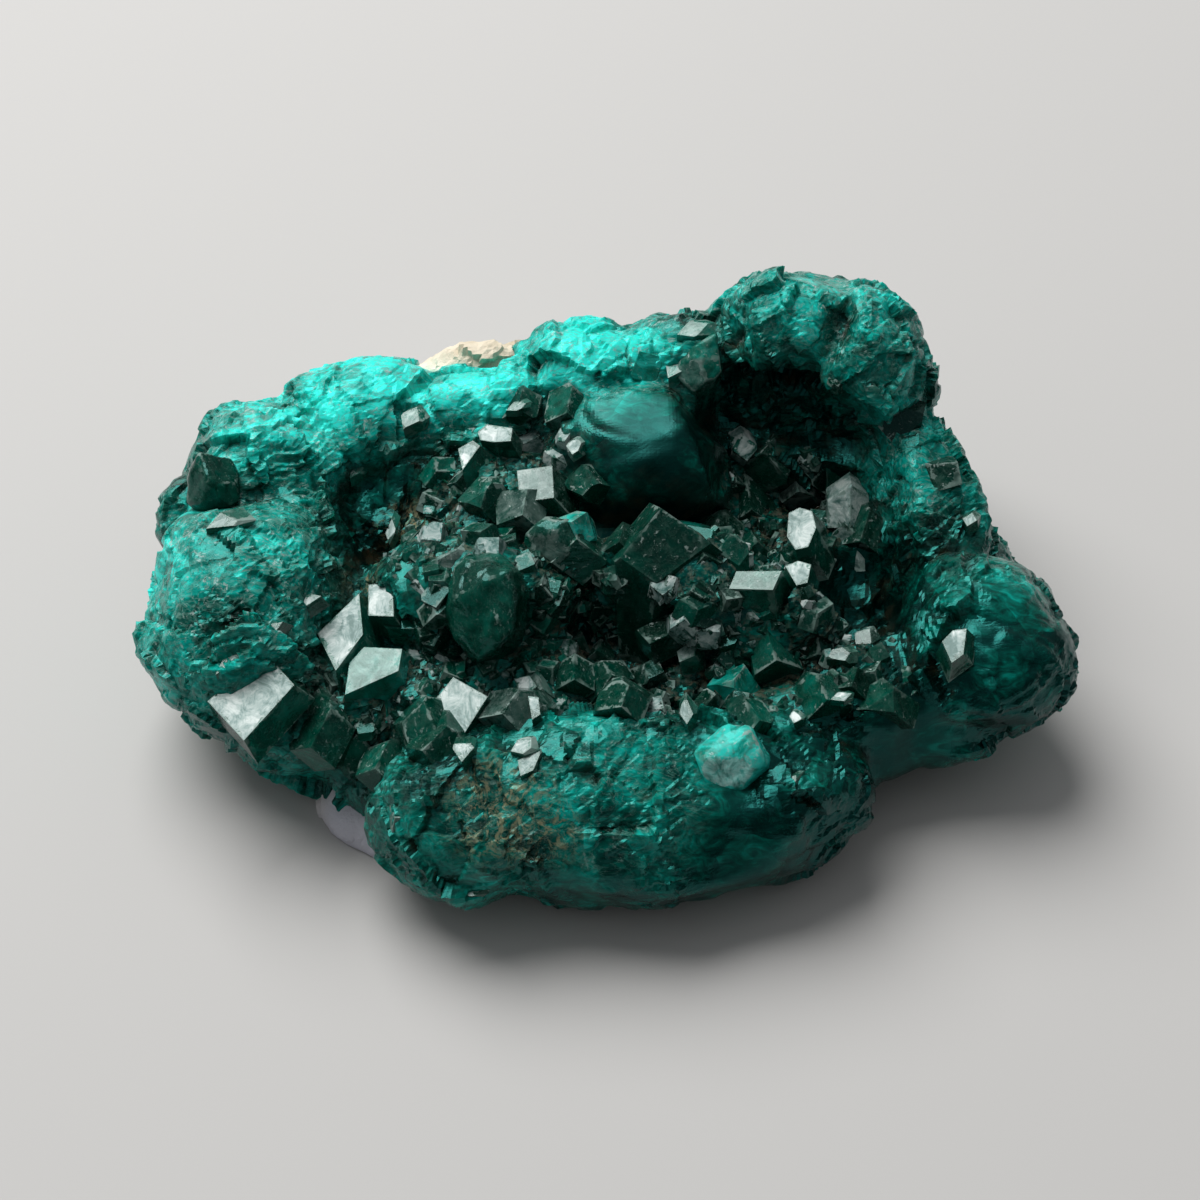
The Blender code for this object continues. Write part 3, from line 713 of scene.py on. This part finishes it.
class WornShape:
    """A large crystal's points and faces, close together and worn round at the edges. The
    first plane is the side that may be pale, partly with dust and partly with a painted reflection
    of the light."""

    def __init__(self, rng, planes):
        made = remeshed(object_from(cut_solid(planes), "shape"), WORN_SPACING, WORN_ROUNDS)
        self.points = points_of(made.data).astype(float)
        self.normals = points_of(made.data, "normal").astype(float)
        self.faces = [p.vertices[:] for p in made.data.polygons]
        bpy.data.objects.remove(made)
        outward = np.array([out[:] for _, out in planes])
        reach = np.array([place.dot(out) for place, out in planes])
        depths = reach - self.points @ outward.T
        ranked = np.argsort(depths, axis=1)
        ordered = np.sort(depths, axis=1)
        nearest = np.argmin(depths, axis=1)
        between = np.linalg.norm(np.cross(outward[ranked[:, 0]], outward[ranked[:, 1]]), axis=1)
        self.inward = (ordered[:, 1] - ordered[:, 0]) / between
        self.shade = np.array([rng.uniform(-1, 1) for _ in planes])[nearest]
        self.film_and_reflection = (nearest == 0).astype(float)


class CrystalBed:
    """Gathers crystals into one mesh, with each one's own coordinates, tone and dust."""

    def __init__(self):
        self.points, self.faces, self.own, self.smooth = [], [], [], []
        self.values = {"tone": [], "dust": [], "inward": [], "film_and_reflection": []}
        self.count = 0

    def add(self, shape, tip, radius, turned, tone, dust, film_and_reflection=0.0, all_over=0.0):
        turned = np.array(turned)
        own = shape.points * radius / MM + np.array((OWN_STEP * len(self.points), 0, 0))
        points = (shape.points * radius) @ turned.T + np.array(tip)
        if shape.normals is not None:
            rise = np.array([self.relief(Vector(place)) for place in own]) * radius
            points += (shape.normals @ turned.T) * rise[:, None]
        self.points.append(points)
        self.faces += [[i + self.count for i in face] for face in shape.faces]
        self.smooth += [shape.normals is not None] * len(shape.faces)
        self.own.append(own)
        self.values["tone"].append(tone + FACE_SHADE * shape.shade)
        self.values["dust"].append(np.full(len(points), dust))
        self.values["inward"].append(shape.inward * radius / MM)
        self.values["film_and_reflection"].append(np.maximum(film_and_reflection * shape.film_and_reflection, all_over))
        self.count += len(points)

    @staticmethod
    def relief(place):
        """Waves and small steps of a worn crystal's surface, in radii."""
        step = round(3 * noise.noise(place * 1.1 + Vector((0, 5, 2)))) / 3
        return 0.06 * noise.noise(place * 0.6) + 0.035 * noise.noise(place * 1.9) + 0.03 * step

    def tree(self):
        return BVHTree.FromPolygons(np.concatenate(self.points).tolist(), self.faces)

    def build(self, name):
        mesh = bpy.data.meshes.new(name)
        points = np.concatenate(self.points)
        points[:, 2] = np.maximum(points[:, 2], 0)
        mesh.from_pydata(points.tolist(), [], self.faces)
        add_attribute(mesh, "own", np.concatenate(self.own), "FLOAT_VECTOR")
        for attribute, values in self.values.items():
            add_attribute(mesh, attribute, np.concatenate(values))
        mesh.polygons.foreach_set("use_smooth", self.smooth)
        return placed(name, mesh)


def add_attribute(mesh, name, values, kind="FLOAT"):
    made = mesh.attributes.new(name, kind, "POINT")
    field = "vector" if kind == "FLOAT_VECTOR" else "value"
    made.data.foreach_set(field, np.asarray(values, np.float32).ravel())


def tree_of(mesh):
    return BVHTree.FromPolygons([v.co for v in mesh.vertices], [p.vertices[:] for p in mesh.polygons])


def small_shapes(seed):
    rng = random.Random(seed)
    return [SharpShape(rng, crystal_planes(rng, LENGTH_IN_RADII)) for _ in range(KINDS)]


def covers_flash(tip, radius):
    """Whether a crystal with this tip would stand on one of the bright faces."""
    return any(
        (tip / MM - Vector(middle)).length < 0.8 * reach + 0.5 * radius for middle, reach in BRIGHT_FACES
    )


def bare(point):
    """Whether nothing grows here: on smooth places, and in the dark clefts."""
    x, y = point[0] / MM, point[1] / MM
    in_cleft = any(math.hypot(x - cx, y - cy) < 0.75 * reach for (cx, cy), reach, _ in CLEFTS)
    return in_cleft or smoothness(np.array([point[:]]))[0] > 0.3


def grow_bright():
    """The crystals with a face that is turned to the light."""
    bed = CrystalBed()
    to_light = UP.rotation_difference(GLINT).to_matrix()
    rng = random.Random(20)
    for middle, depth, tone, film_and_reflection, dust, outline in FLASHES.values():
        shape = SharpShape(rng, flash_planes(rng, outline, depth))
        bed.add(shape, Vector(middle) * MM, MM, to_light, tone, dust, film_and_reflection)
    for face_middle, length, width, heading, tone, film_and_reflection, dust in BRIGHT_CRYSTALS.values():
        shape = SharpShape(rng, crystal_planes(rng, SHORT_IN_RADII, BROKEN_CORNERS))
        radius = width / FACE_WIDTH
        along = Matrix.Rotation(math.radians(heading), 3, "Z")
        widened = along @ Matrix.Diagonal((length / (FACE_LENGTH * radius), 1, 1)) @ along.transposed()
        turned = to_light @ widened @ axis_turn(POINT_LEAN, heading, 0)
        tip = Vector(face_middle) - turned @ Vector((0, radius / 2, -radius * POINT_SLOPE / 2))
        bed.add(shape, tip * MM, radius * MM, turned, tone, dust, film_and_reflection)
    return bed, rng


def grow_large(crust, flashes, rng):
    """The pointing crystals, the worn ones, and the larger of the small crystals."""
    bed = CrystalBed()
    for name, (tip, radius, lean, heading, turn, tone, dust) in POINTING_CRYSTALS.items():
        shape = SharpShape(rng, crystal_planes(rng, LENGTH_IN_RADII, BROKEN_CORNERS))
        turned = axis_turn(lean, heading, turn)
        pale = PALE_ALL_OVER.get(name, 0.0)
        bed.add(shape, Vector(tip) * MM, radius * MM, turned, tone, dust, all_over=pale)
    rng = random.Random(21)
    for middle, half, turn, tone, dust, film_and_reflection in WORN_BODIES.values():
        size = sum(half) / 3
        turned = Matrix.Rotation(math.radians(turn), 3, "Z") @ Matrix.Diagonal(Vector(half) / size)
        shape = WornShape(rng, body_planes(rng))
        bed.add(shape, Vector(middle) * MM, size * MM, turned, tone, dust, film_and_reflection)
    tree, heroes = tree_of(crust.data), bed.tree()
    shapes = small_shapes(26)
    rng = random.Random(11)
    for middle, half, count, _, _ in SMALL_CRYSTALS:
        for _ in range(count):
            angle = rng.uniform(0, 2 * math.pi)
            reach = math.sqrt(rng.random())
            plan = (
                middle[0] + half[0] * reach * math.cos(angle),
                middle[1] + half[1] * reach * math.sin(angle),
            )
            radius = rng.uniform(*SMALL_RADIUS)
            tip, normal = point_on(tree, plan, SMALL_PROUD * radius)
            axis = (normal + SMALL_TILT * unit_vector(rng)).normalized()
            turned = any_turn(axis, rng)
            tone, dust = 0.26 + 0.16 * reach, 0.9 * abs(math.sin(7 * angle)) ** 3
            near = min(heroes.find_nearest(tip)[3], flashes.find_nearest(tip)[3]) / MM
            if near > CLEARANCE + radius / 2 and not bare(tip) and not covers_flash(tip, radius):
                bed.add(shapes[rng.randrange(KINDS)], tip, radius * MM, turned, tone, dust)
    return bed


def grow_small(crust, heroes, flashes):
    """The middle sized crystals and the finest druse, between the large ones."""
    shapes = small_shapes(22)
    small, druse = CrystalBed(), CrystalBed()
    points, normals = points_of(crust.data), points_of(crust.data, "normal")
    rng = random.Random(12)
    for middle, half, _, small_count, druse_count in SMALL_CRYSTALS:
        away = oval_distance(points, middle, half)
        ground = np.flatnonzero((away < 1) & (normals[:, 2] > -0.3) & (points[:, 2] > GROUND * MM))
        for bed, count, sizes, clear in (
            (small, small_count, MIDDLE_RADIUS, CLEARANCE),
            (druse, druse_count, DRUSE_RADIUS, DRUSE_CLEARANCE),
        ):
            for _ in range(count):
                place = int(ground[rng.randrange(len(ground))])
                normal = Vector(normals[place])
                radius = sizes[0] + (sizes[1] - sizes[0]) * rng.random() ** 1.5
                tip = Vector(points[place]) + normal * radius * MM * rng.uniform(0.4, 1.0)
                axis = (normal + UP * 0.3 + DRUSE_TILT * unit_vector(rng)).normalized()
                turned = any_turn(axis, rng)
                shape = shapes[rng.randrange(KINDS)]
                tone, dust = rng.uniform(0.16, 0.44), rng.random() ** 2
                start = Vector(points[place]) + normal * 0.05 * MM
                open_to_sky = all(
                    tree.find_nearest(tip)[3] / MM > clear
                    and tree.ray_cast(start, normal, OPEN_SKY * MM)[0] is None
                    for tree in (heroes, flashes)
                )
                pale = CRUMB_FILM_AND_GLINT if rng.random() < PALE_CRUMBS else 0.0
                if open_to_sky and not bare(start) and not covers_flash(tip, radius):
                    bed.add(shape, tip, radius * MM, turned, tone, dust, all_over=pale)
    return small.build("small_crystals"), druse.build("druse")


def paint_crust(mesh, broken):
    """Tone by nearness to the named places, partly painted light, and how shut in each point is, for the
    painted shade and the grime in the recesses.
    """
    points = points_of(mesh)
    weight = np.full(len(points), BASE_WEIGHT)
    tone = weight * BASE_TONE
    for middle, reach, value in TONES_AND_PAINTED_LIGHT:
        away = np.linalg.norm(points - np.array(middle) * MM, axis=1) / (reach * MM)
        near = np.exp(-(away**2) * 1.5)
        weight += near * 2
        tone += near * 2 * value
    grainy = np.zeros(len(points))
    for middle, half, *_ in SMALL_CRYSTALS:
        away = oval_distance(points, middle, half)
        grainy = np.maximum(grainy, np.clip(3 * (1.05 - away), 0, 1))
    tree = tree_of(mesh)
    rng = random.Random(31)
    rays = [unit_vector(rng) for _ in range(RAYS)]
    shut = np.zeros(len(points))
    for index, (point, normal) in enumerate(zip(points, points_of(mesh, "normal"))):
        normal = Vector(normal)
        start = Vector(point) + normal * RAY_START * MM
        for ray in rays:
            way = (normal + ray * RAY_SPREAD).normalized()
            if tree.ray_cast(start, way, RAY_REACH * MM)[0] is not None:
                shut[index] += 1
    grainy *= 1 - smoothness(points)
    values = (tone / weight, broken, grainy, inside(points, SOIL, 1.5), shut / len(rays))
    for name, value in zip(("tone", "broken", "grainy", "soil", "shut"), values):
        add_attribute(mesh, name, value)


class Nodes:
    """Short hands for building a material's nodes."""

    def __init__(self, name):
        self.material = bpy.data.materials.new(name)
        self.material.use_nodes = True
        self.tree = self.material.node_tree
        self.shader = self.tree.nodes["Principled BSDF"]
        self.place = self.add("ShaderNodeTexCoord").outputs["Object"]

    def add(self, kind, **settings):
        node = self.tree.nodes.new(kind)
        for name, value in settings.items():
            setattr(node, name, value)
        return node

    def put(self, socket, value):
        if isinstance(value, bpy.types.NodeSocket):
            self.tree.links.new(value, socket)
        else:
            socket.default_value = value

    def fill(self, node, values):
        for name, value in values.items():
            self.put(node.inputs[name], value)
        return node

    def shade(self, values):
        self.fill(self.shader, values)

    def attribute(self, name, output="Fac"):
        return self.add("ShaderNodeAttribute", attribute_name=name).outputs[output]

    def noise(self, per_mm, detail=4.0, roughness=0.55, vector=None, distortion=0.0, output="Fac"):
        values = {"Vector": vector or self.place, "Scale": per_mm, "Detail": detail}
        values.update({"Roughness": roughness, "Distortion": distortion})
        return self.fill(self.add("ShaderNodeTexNoise"), values).outputs[output]

    def cells(self, per_mm, vector=None):
        node = self.add("ShaderNodeTexVoronoi")
        return self.fill(node, {"Vector": vector or self.place, "Scale": per_mm}).outputs["Color"]

    def channels(self, colour):
        return self.fill(self.add("ShaderNodeSeparateColor"), {"Color": colour}).outputs

    def math(self, operation, a, b=0.0, clamp=False):
        node = self.add("ShaderNodeMath", operation=operation, use_clamp=clamp)
        self.put(node.inputs[0], a)
        self.put(node.inputs[1], b)
        return node.outputs[0]

    def chain(self, operation, first, others):
        for other in others:
            first = self.math(operation, first, other)
        return first

    def times(self, first, *others):
        return self.chain("MULTIPLY", first, others)

    def plus(self, first, *others):
        return self.chain("ADD", first, others)

    def most(self, first, *others):
        return self.chain("MAXIMUM", first, others)

    def off_middle(self, value):
        return self.math("ABSOLUTE", self.math("SUBTRACT", value, 0.5))

    def vector(self, operation, a, b=None, scale=None):
        node = self.add("ShaderNodeVectorMath", operation=operation)
        self.put(node.inputs[0], a)
        if b is not None:
            self.put(node.inputs[1], b)
        if scale is not None:
            self.put(node.inputs["Scale"], scale)
        return node.outputs["Vector"]

    def ramp(self, value, stops):
        node = self.fill(self.add("ShaderNodeValToRGB"), {"Fac": value})
        elements = node.color_ramp.elements
        while len(elements) < len(stops):
            elements.new(1.0)
        for element, (place, colour) in zip(elements, stops):
            element.position = place
            element.color = (*colour, 1.0)
        return node.outputs["Color"]

    def spread(self, value, low, high, to_low=0.0, to_high=1.0):
        values = {"Value": value, "From Min": low, "From Max": high, "To Min": to_low, "To Max": to_high}
        return self.fill(self.add("ShaderNodeMapRange"), values).outputs["Result"]

    def swing(self, value, low, high, size):
        return self.spread(value, low, high, -size, size)

    def mix(self, share, a, b):
        node = self.add("ShaderNodeMix", data_type="RGBA")
        b = (*b, 1.0) if isinstance(b, tuple) else b
        return self.fill(node, {"Factor": share, "A": a, "B": b}).outputs["Result"]

    def bump(self, height, distance, strength, normal=None):
        values = {"Height": height, "Distance": distance, "Strength": strength}
        if normal is not None:
            values["Normal"] = normal
        return self.fill(self.add("ShaderNodeBump"), values).outputs["Normal"]

    def grain_normal(self, amount, grains):
        """The surface's normal, turned a little its own way in each crystal grain."""
        normal = self.add("ShaderNodeNewGeometry").outputs["Normal"]
        for per_mm, share in grains:
            turned = self.vector("SUBTRACT", self.cells(per_mm), (0.5, 0.5, 0.5))
            turned = self.vector("SCALE", turned, scale=self.times(amount, share))
            normal = self.vector("ADD", normal, turned)
        return self.vector("NORMALIZE", normal)

    def streaks(self, per_mm, turn, stretch, detail, roughness, distortion):
        """Noise drawn out one way, as in fibrous rock."""
        mapping = self.add("ShaderNodeMapping")
        turn = [math.radians(angle) for angle in turn]
        self.fill(mapping, {"Vector": self.place, "Rotation": turn, "Scale": stretch})
        return self.noise(per_mm, detail, roughness, mapping.outputs[0], distortion)

    def facing_up(self):
        split = self.add("ShaderNodeSeparateXYZ")
        self.put(split.inputs[0], self.add("ShaderNodeNewGeometry").outputs["Normal"])
        return self.spread(split.outputs["Z"], -0.1, 0.9)


GREENS = [
    (0.00, (0.000, 0.004, 0.003)),
    (0.20, (0.000, 0.024, 0.017)),
    (0.40, (0.000, 0.082, 0.060)),
    (0.60, (0.000, 0.190, 0.152)),
    (0.80, (0.004, 0.390, 0.330)),
    (1.00, (0.030, 0.780, 0.680)),
]
EMERALDS = [
    (0.00, (0.000, 0.004, 0.003)),
    (0.20, (0.000, 0.022, 0.013)),
    (0.40, (0.000, 0.072, 0.046)),
    (0.60, (0.000, 0.170, 0.120)),
    (0.80, (0.003, 0.360, 0.290)),
    (1.00, (0.030, 0.740, 0.640)),
]
# The pale film's colours: partly dust, partly a painted reflection of the light
FILM_AND_REFLECTION_COLOURS = [
    (0.36, (0.06, 0.13, 0.12)),
    (0.44, (0.20, 0.29, 0.28)),
    (0.52, (0.38, 0.46, 0.45)),
    (0.62, (0.66, 0.71, 0.70)),
]
HOST_COLOURS = [
    (0.3, (0.56, 0.48, 0.35)),
    (0.5, (0.78, 0.71, 0.58)),
    (0.7, (0.88, 0.85, 0.78)),
]
GREEN_SHEEN = (0.10, 1.0, 0.92, 1.0)
CRYSTAL_SHEEN = (0.35, 1.0, 0.95, 1.0)
PALE_SHEEN = (0.85, 1.0, 0.98, 1.0)
DUST = (0.08, 0.145, 0.12)
WORN = (0.20, 0.28, 0.255)
CHALK = (0.12, 0.24, 0.20)
PALE = (0.38, 0.46, 0.44)
# Dark brown of the recesses: partly grime, partly painted shade.
DIRT_AND_SHADE = (0.060, 0.045, 0.022)
SOIL_COLOUR = (0.290, 0.260, 0.150)
GRIT = (0.095, 0.098, 0.072)
RUST = (0.30, 0.17, 0.08)
NUB_COLOUR = (0.60, 0.60, 0.68)
FLOOR_COLOUR = (0.52, 0.515, 0.51, 1.0)
VEIN_TURN = (50, 20, -30)


def crust_material():
    n = Nodes("massive_dioptase")
    shut, broken, place_tone_and_light = n.attribute("shut"), n.attribute("broken"), n.attribute("tone")
    up = n.facing_up()

    streaks = n.streaks(0.9 / MM, (20, 35, 25), (0.7, 1.2, 1.2), 6, 0.6, 1.8)
    bend = n.noise(0.5 / MM, 2.0, 0.5, output="Color")
    bent = n.vector("ADD", n.place, n.vector("SCALE", bend, scale=1.6 * MM))
    block = n.channels(n.cells(0.30 / MM, bent))
    cell = n.channels(n.cells(1.0 / MM))
    tone = n.plus(
        place_tone_and_light,
        n.swing(n.noise(0.35 / MM, 3), 0.3, 0.7, 0.20),
        n.swing(streaks, 0.32, 0.68, 0.22),
        n.swing(block[0], 0.0, 1.0, 0.13),
        n.times(broken, n.swing(cell[0], 0.0, 1.0, 0.09)),
    )
    # The tone is lowered where the crust is shut in: painted shade in its recesses.
    colour = n.ramp(n.math("SUBTRACT", tone, n.times(shut, 0.5), clamp=True), GREENS)

    veins = n.off_middle(n.streaks(0.55 / MM, VEIN_TURN, (0.6, 1.2, 1.2), 7, 0.6, 2.5))
    veins = n.spread(veins, 0.0, 0.035, 1.0, 0.0)
    patches = n.spread(n.noise(0.22 / MM, 4, 0.6, None, 1.0), 0.47, 0.60)
    flecks = n.spread(n.streaks(1.7 / MM, VEIN_TURN, (0.5, 1.3, 1.3), 5, 0.6, 1.2), 0.50, 0.60)
    chalk = n.times(
        n.most(n.times(veins, 0.75), n.times(flecks, patches)),
        n.spread(up, 0.0, 1.0, 0.15, 1.0),
        n.spread(place_tone_and_light, 0.25, 0.60, 0.0, 0.9),
        n.spread(broken, 0.02, 0.3, 0.1, 1.0),
    )
    colour = n.mix(chalk, colour, CHALK)
    # Pale specks on the up-facing, brighter parts of the crust: partly pale grains, partly painted
    # glints.
    specks_and_glints = n.times(
        n.spread(n.noise(1.4 / MM, 5, 0.72, None, 1.4), 0.57, 0.61),
        n.spread(up, 0.3, 0.9),
        n.spread(chalk, 0.0, 0.3, 0.25, 1.0),
        n.spread(place_tone_and_light, 0.3, 0.6),
        n.spread(broken, 0.02, 0.3),
        0.8,
    )
    colour = n.mix(specks_and_glints, colour, PALE)
    grit = n.spread(n.noise(1.6 / MM, 4, 0.7), 0.47, 0.60)
    grit = n.times(n.attribute("grainy"), grit, n.spread(up, 0.2, 1.0, 0.0, 0.8))
    colour = n.mix(grit, colour, GRIT)
    # Dark brown where the crust is shut in: partly real grime, partly painted shade.
    dirt_and_shade = n.times(shut, n.spread(n.noise(0.8 / MM), 0.45, 0.65), 0.6)
    colour = n.mix(dirt_and_shade, colour, DIRT_AND_SHADE)
    soil = n.spread(n.noise(1.0 / MM, 6, 0.78, None, 1.4), 0.49, 0.57)
    colour = n.mix(n.times(n.attribute("soil"), soil, 0.75), colour, SOIL_COLOUR)

    grain = n.spread(broken, 0.0, 1.0, 0.08, 0.45)
    normal = n.grain_normal(grain, ((0.9 / MM, 0.45), (2.4 / MM, 0.25)))
    normal = n.bump(streaks, 0.12 * MM, n.spread(broken, 0.0, 0.5, 0.12, 0.45), normal)
    flake = n.times(n.math("GREATER_THAN", cell[1], 0.93), up, n.times(broken, 2.0))
    normal = n.vector("ADD", normal, n.vector("SCALE", GLINT, scale=flake))
    waxy = n.spread(broken, 0.02, 0.3, 0.50, 0.26)
    n.shade({
        "Base Color": colour,
        "Roughness": n.most(waxy, n.spread(chalk, 0.0, 0.5, 0.0, 0.5)),
        "Normal": n.vector("NORMALIZE", normal),
        "IOR": 1.6,
        "Specular IOR Level": 0.45,
        "Specular Tint": GREEN_SHEEN,
        "Subsurface Weight": 0.25,
        "Subsurface Radius": (0.3, 1.4, 1.1),
        "Subsurface Scale": 1.0 * MM,
    })
    return n.material


def crystal_material(name, clear, sheen, gloss):
    n = Nodes(name)
    own = n.attribute("own", "Vector")
    inward, dusty, up = n.attribute("inward"), n.attribute("dust"), n.facing_up()
    mottle = n.spread(n.noise(0.6, 6, 0.65, own, 1.0), 0.35, 0.65, 0.70, 1.30)
    colour = n.ramp(n.times(n.attribute("tone"), mottle), EMERALDS)

    smudge = n.spread(n.noise(1.6, 6, 0.75, own, 0.6), 0.46, 0.62)
    settled = n.times(smudge, up, n.times(dusty, 0.7))
    colour = n.mix(settled, colour, DUST)
    wear = n.plus(inward, n.swing(n.noise(1.3, 5, 0.7, own), 0.35, 0.65, 0.20))
    wear = n.math("SUBTRACT", wear, n.times(dusty, 0.12))
    worn = n.times(
        n.spread(wear, 0.02, 0.09, 1.0, 0.0),
        n.spread(up, 0.0, 0.7, 0.15, 0.85),
        n.spread(n.noise(0.4, 3, 0.6, own), 0.47, 0.60, 0.05, 1.0),
    )
    scratch = n.spread(n.off_middle(n.noise(0.7, 7, 0.7, own, 1.5)), 0.0, 0.012, 0.22, 0.0)
    worn = n.most(worn, n.times(scratch, up))
    colour = n.mix(worn, colour, WORN)
    crumbs = n.times(
        n.spread(n.noise(2.2, 5, 0.75, own, 0.5), 0.60, 0.65),
        n.spread(up, 0.2, 0.9),
        n.spread(dusty, 0.0, 0.6, 0.2, 0.9),
    )
    colour = n.mix(crumbs, colour, PALE)
    # The pale film on the bright faces and on the pale crystals: partly dust, partly a painted
    # reflection of the light, mottled in blotches and frayed at the edges.
    scores = n.noise(0.9, 5, 0.65, n.vector("MULTIPLY", own, (1.0, 0.35, 1.0)), 0.7)
    blotches = n.times(n.noise(0.6, 7, 0.75, own, 1.0), n.spread(scores, 0.38, 0.47, 0.75, 1.0))
    frayed = n.plus(inward, n.swing(n.noise(1.2, 5, 0.7, own, 0.8), 0.35, 0.65, 0.25))
    film_and_reflection = n.times(n.attribute("film_and_reflection"), n.spread(frayed, 0.0, 0.10))
    colour = n.mix(film_and_reflection, colour, n.ramp(blotches, FILM_AND_REFLECTION_COLOURS))

    dull = n.most(worn, settled, crumbs, film_and_reflection)
    stripes = n.noise(1.0, 2, vector=n.vector("MULTIPLY", own, (0.5, 0.5, 5.0)))
    plateaus = n.math("SNAP", n.noise(0.7, 3, vector=own), 0.07)
    normal = n.bump(stripes, 0.05 * MM, 0.35)
    normal = n.bump(plateaus, 0.4 * MM, 0.6, normal)
    normal = n.bump(n.noise(2.5, 3, vector=own), 0.05 * MM, 0.35, normal)
    n.shade({
        "Base Color": colour,
        "Roughness": n.spread(dull, 0.0, 0.8, 0.10, 0.35),
        "Normal": normal,
        "IOR": 1.66,
        "Specular IOR Level": gloss,
        "Specular Tint": sheen,
        "Transmission Weight": n.spread(dull, 0.0, 0.5, clear, 0.0),
    })
    return n.material


def host_material():
    n = Nodes("host_rock")
    colour = n.ramp(n.noise(0.25 / MM, 4), HOST_COLOURS)
    rust = n.spread(n.noise(0.5 / MM, 5, 0.65), 0.62, 0.74)
    colour = n.mix(n.times(rust, 0.5), colour, RUST)
    colour = n.mix(n.attribute("nub"), colour, NUB_COLOUR)
    normal = n.bump(n.noise(2.0 / MM, 6, 0.65), 0.15 * MM, 0.8)
    n.shade({"Base Color": colour, "Roughness": 0.85, "Normal": normal})
    return n.material


def dress(thing, material, slot, *replaced):
    thing.data.materials.clear()
    thing.data.materials.append(material)
    thing.data.transform(Matrix.Translation(SHIFT))
    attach(thing, "root")
    if replaced:
        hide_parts(*replaced)


def aim(made, place, direction):
    made.location = place
    made.rotation_mode = "QUATERNION"
    made.rotation_quaternion = direction.to_track_quat("-Z", "Y")


def studio():
    bm = bmesh.new()
    bmesh.ops.create_grid(bm, x_segments=1, y_segments=1, size=FLOOR_HALF)
    floor = object_from(bm, "studio_floor")
    n = Nodes("studio_floor")
    n.shade({"Base Color": FLOOR_COLOUR, "Roughness": 0.9})
    floor.data.materials.append(n.material)

    elevation = math.radians(CAMERA_ELEVATION)
    back = Vector((0, -math.cos(elevation), math.sin(elevation)))
    camera = bpy.data.cameras.new("camera")
    camera.lens = CAMERA_LENS
    camera.sensor_width = 36
    camera.clip_start = 0.01
    made = placed("camera", camera)
    aim(made, CAMERA_TARGET + back * CAMERA_DISTANCE, -back)
    bpy.context.scene.camera = made

    light = bpy.data.lights.new("key", "AREA")
    light.shape = "DISK"
    light.size = KEY_SIZE
    light.energy = KEY_POWER
    light.color = (1.0, 0.99, 0.97)
    place = KEY_SIDE * KEY_DISTANCE
    aim(placed("key", light), place, KEY_TARGET - place)

    world = bpy.data.worlds.new("studio")
    bpy.context.scene.world = world
    world.use_nodes = True
    tree = world.node_tree
    background = tree.nodes["Background"]
    direction = tree.nodes.new("ShaderNodeTexCoord")
    along = tree.nodes.new("ShaderNodeVectorMath")
    along.operation = "DOT_PRODUCT"
    along.inputs[1].default_value = SKY_SIDE
    strength = tree.nodes.new("ShaderNodeMapRange")
    for name, number in (("From Min", -0.4), ("From Max", 1.0), ("To Min", 0.02), ("To Max", 0.40)):
        strength.inputs[name].default_value = number
    tree.links.new(direction.outputs["Generated"], along.inputs[0])
    tree.links.new(along.outputs["Value"], strength.inputs["Value"])
    tree.links.new(strength.outputs["Result"], background.inputs["Strength"])
    background.inputs["Color"].default_value = (0.97, 0.99, 1.0, 1.0)
    bpy.context.scene.view_settings.view_transform = "Standard"


def main():
    studio()
    crust = joined_masses("crust", MASSES, VOXEL, random.Random(3))
    broken = brokenness(points_of(crust.data))
    rng = random.Random(5)
    break_into_facets(crust.data, 1 - 0.7 * smoothness(points_of(crust.data)), *SLABS, rng)
    for grain in GRAINS:
        break_into_facets(crust.data, broken, *grain, rng)
    lay_layers(crust.data, broken)
    wear_smooth(crust.data)
    sink_clefts(crust.data)
    carve_hollows(crust.data)
    bright, rng = grow_bright()
    large = grow_large(crust, bright.tree(), rng)
    small, druse = grow_small(crust, large.tree(), bright.tree())
    flatten_base(crust.data)
    paint_crust(crust.data, broken)
    host = joined_masses("host", HOST, HOST_VOXEL, random.Random(4))
    rng = random.Random(6)
    nub = inside(points_of(host.data), NUB, 1.5)
    for grain in HOST_GRAINS:
        break_into_facets(host.data, 1 - 0.85 * nub, *grain, rng)
    flatten_base(host.data)
    add_attribute(host.data, "nub", nub)

    plain = crystal_material("dioptase_crystal", 0.3, CRYSTAL_SHEEN, 0.12)
    flashing = crystal_material("bright_crystal", 0.3, PALE_SHEEN, 0.3)
    dress(crust, crust_material(), "dioptase", "dioptase")
    dress(bright.build("bright_crystals"), flashing, "dioptase")
    dress(large.build("large_crystals"), plain, "dioptase")
    dress(small, plain, "dioptase")
    dress(druse, plain, "dioptase")
    dress(host, host_material(), "host_rock", "host_rock")


main()
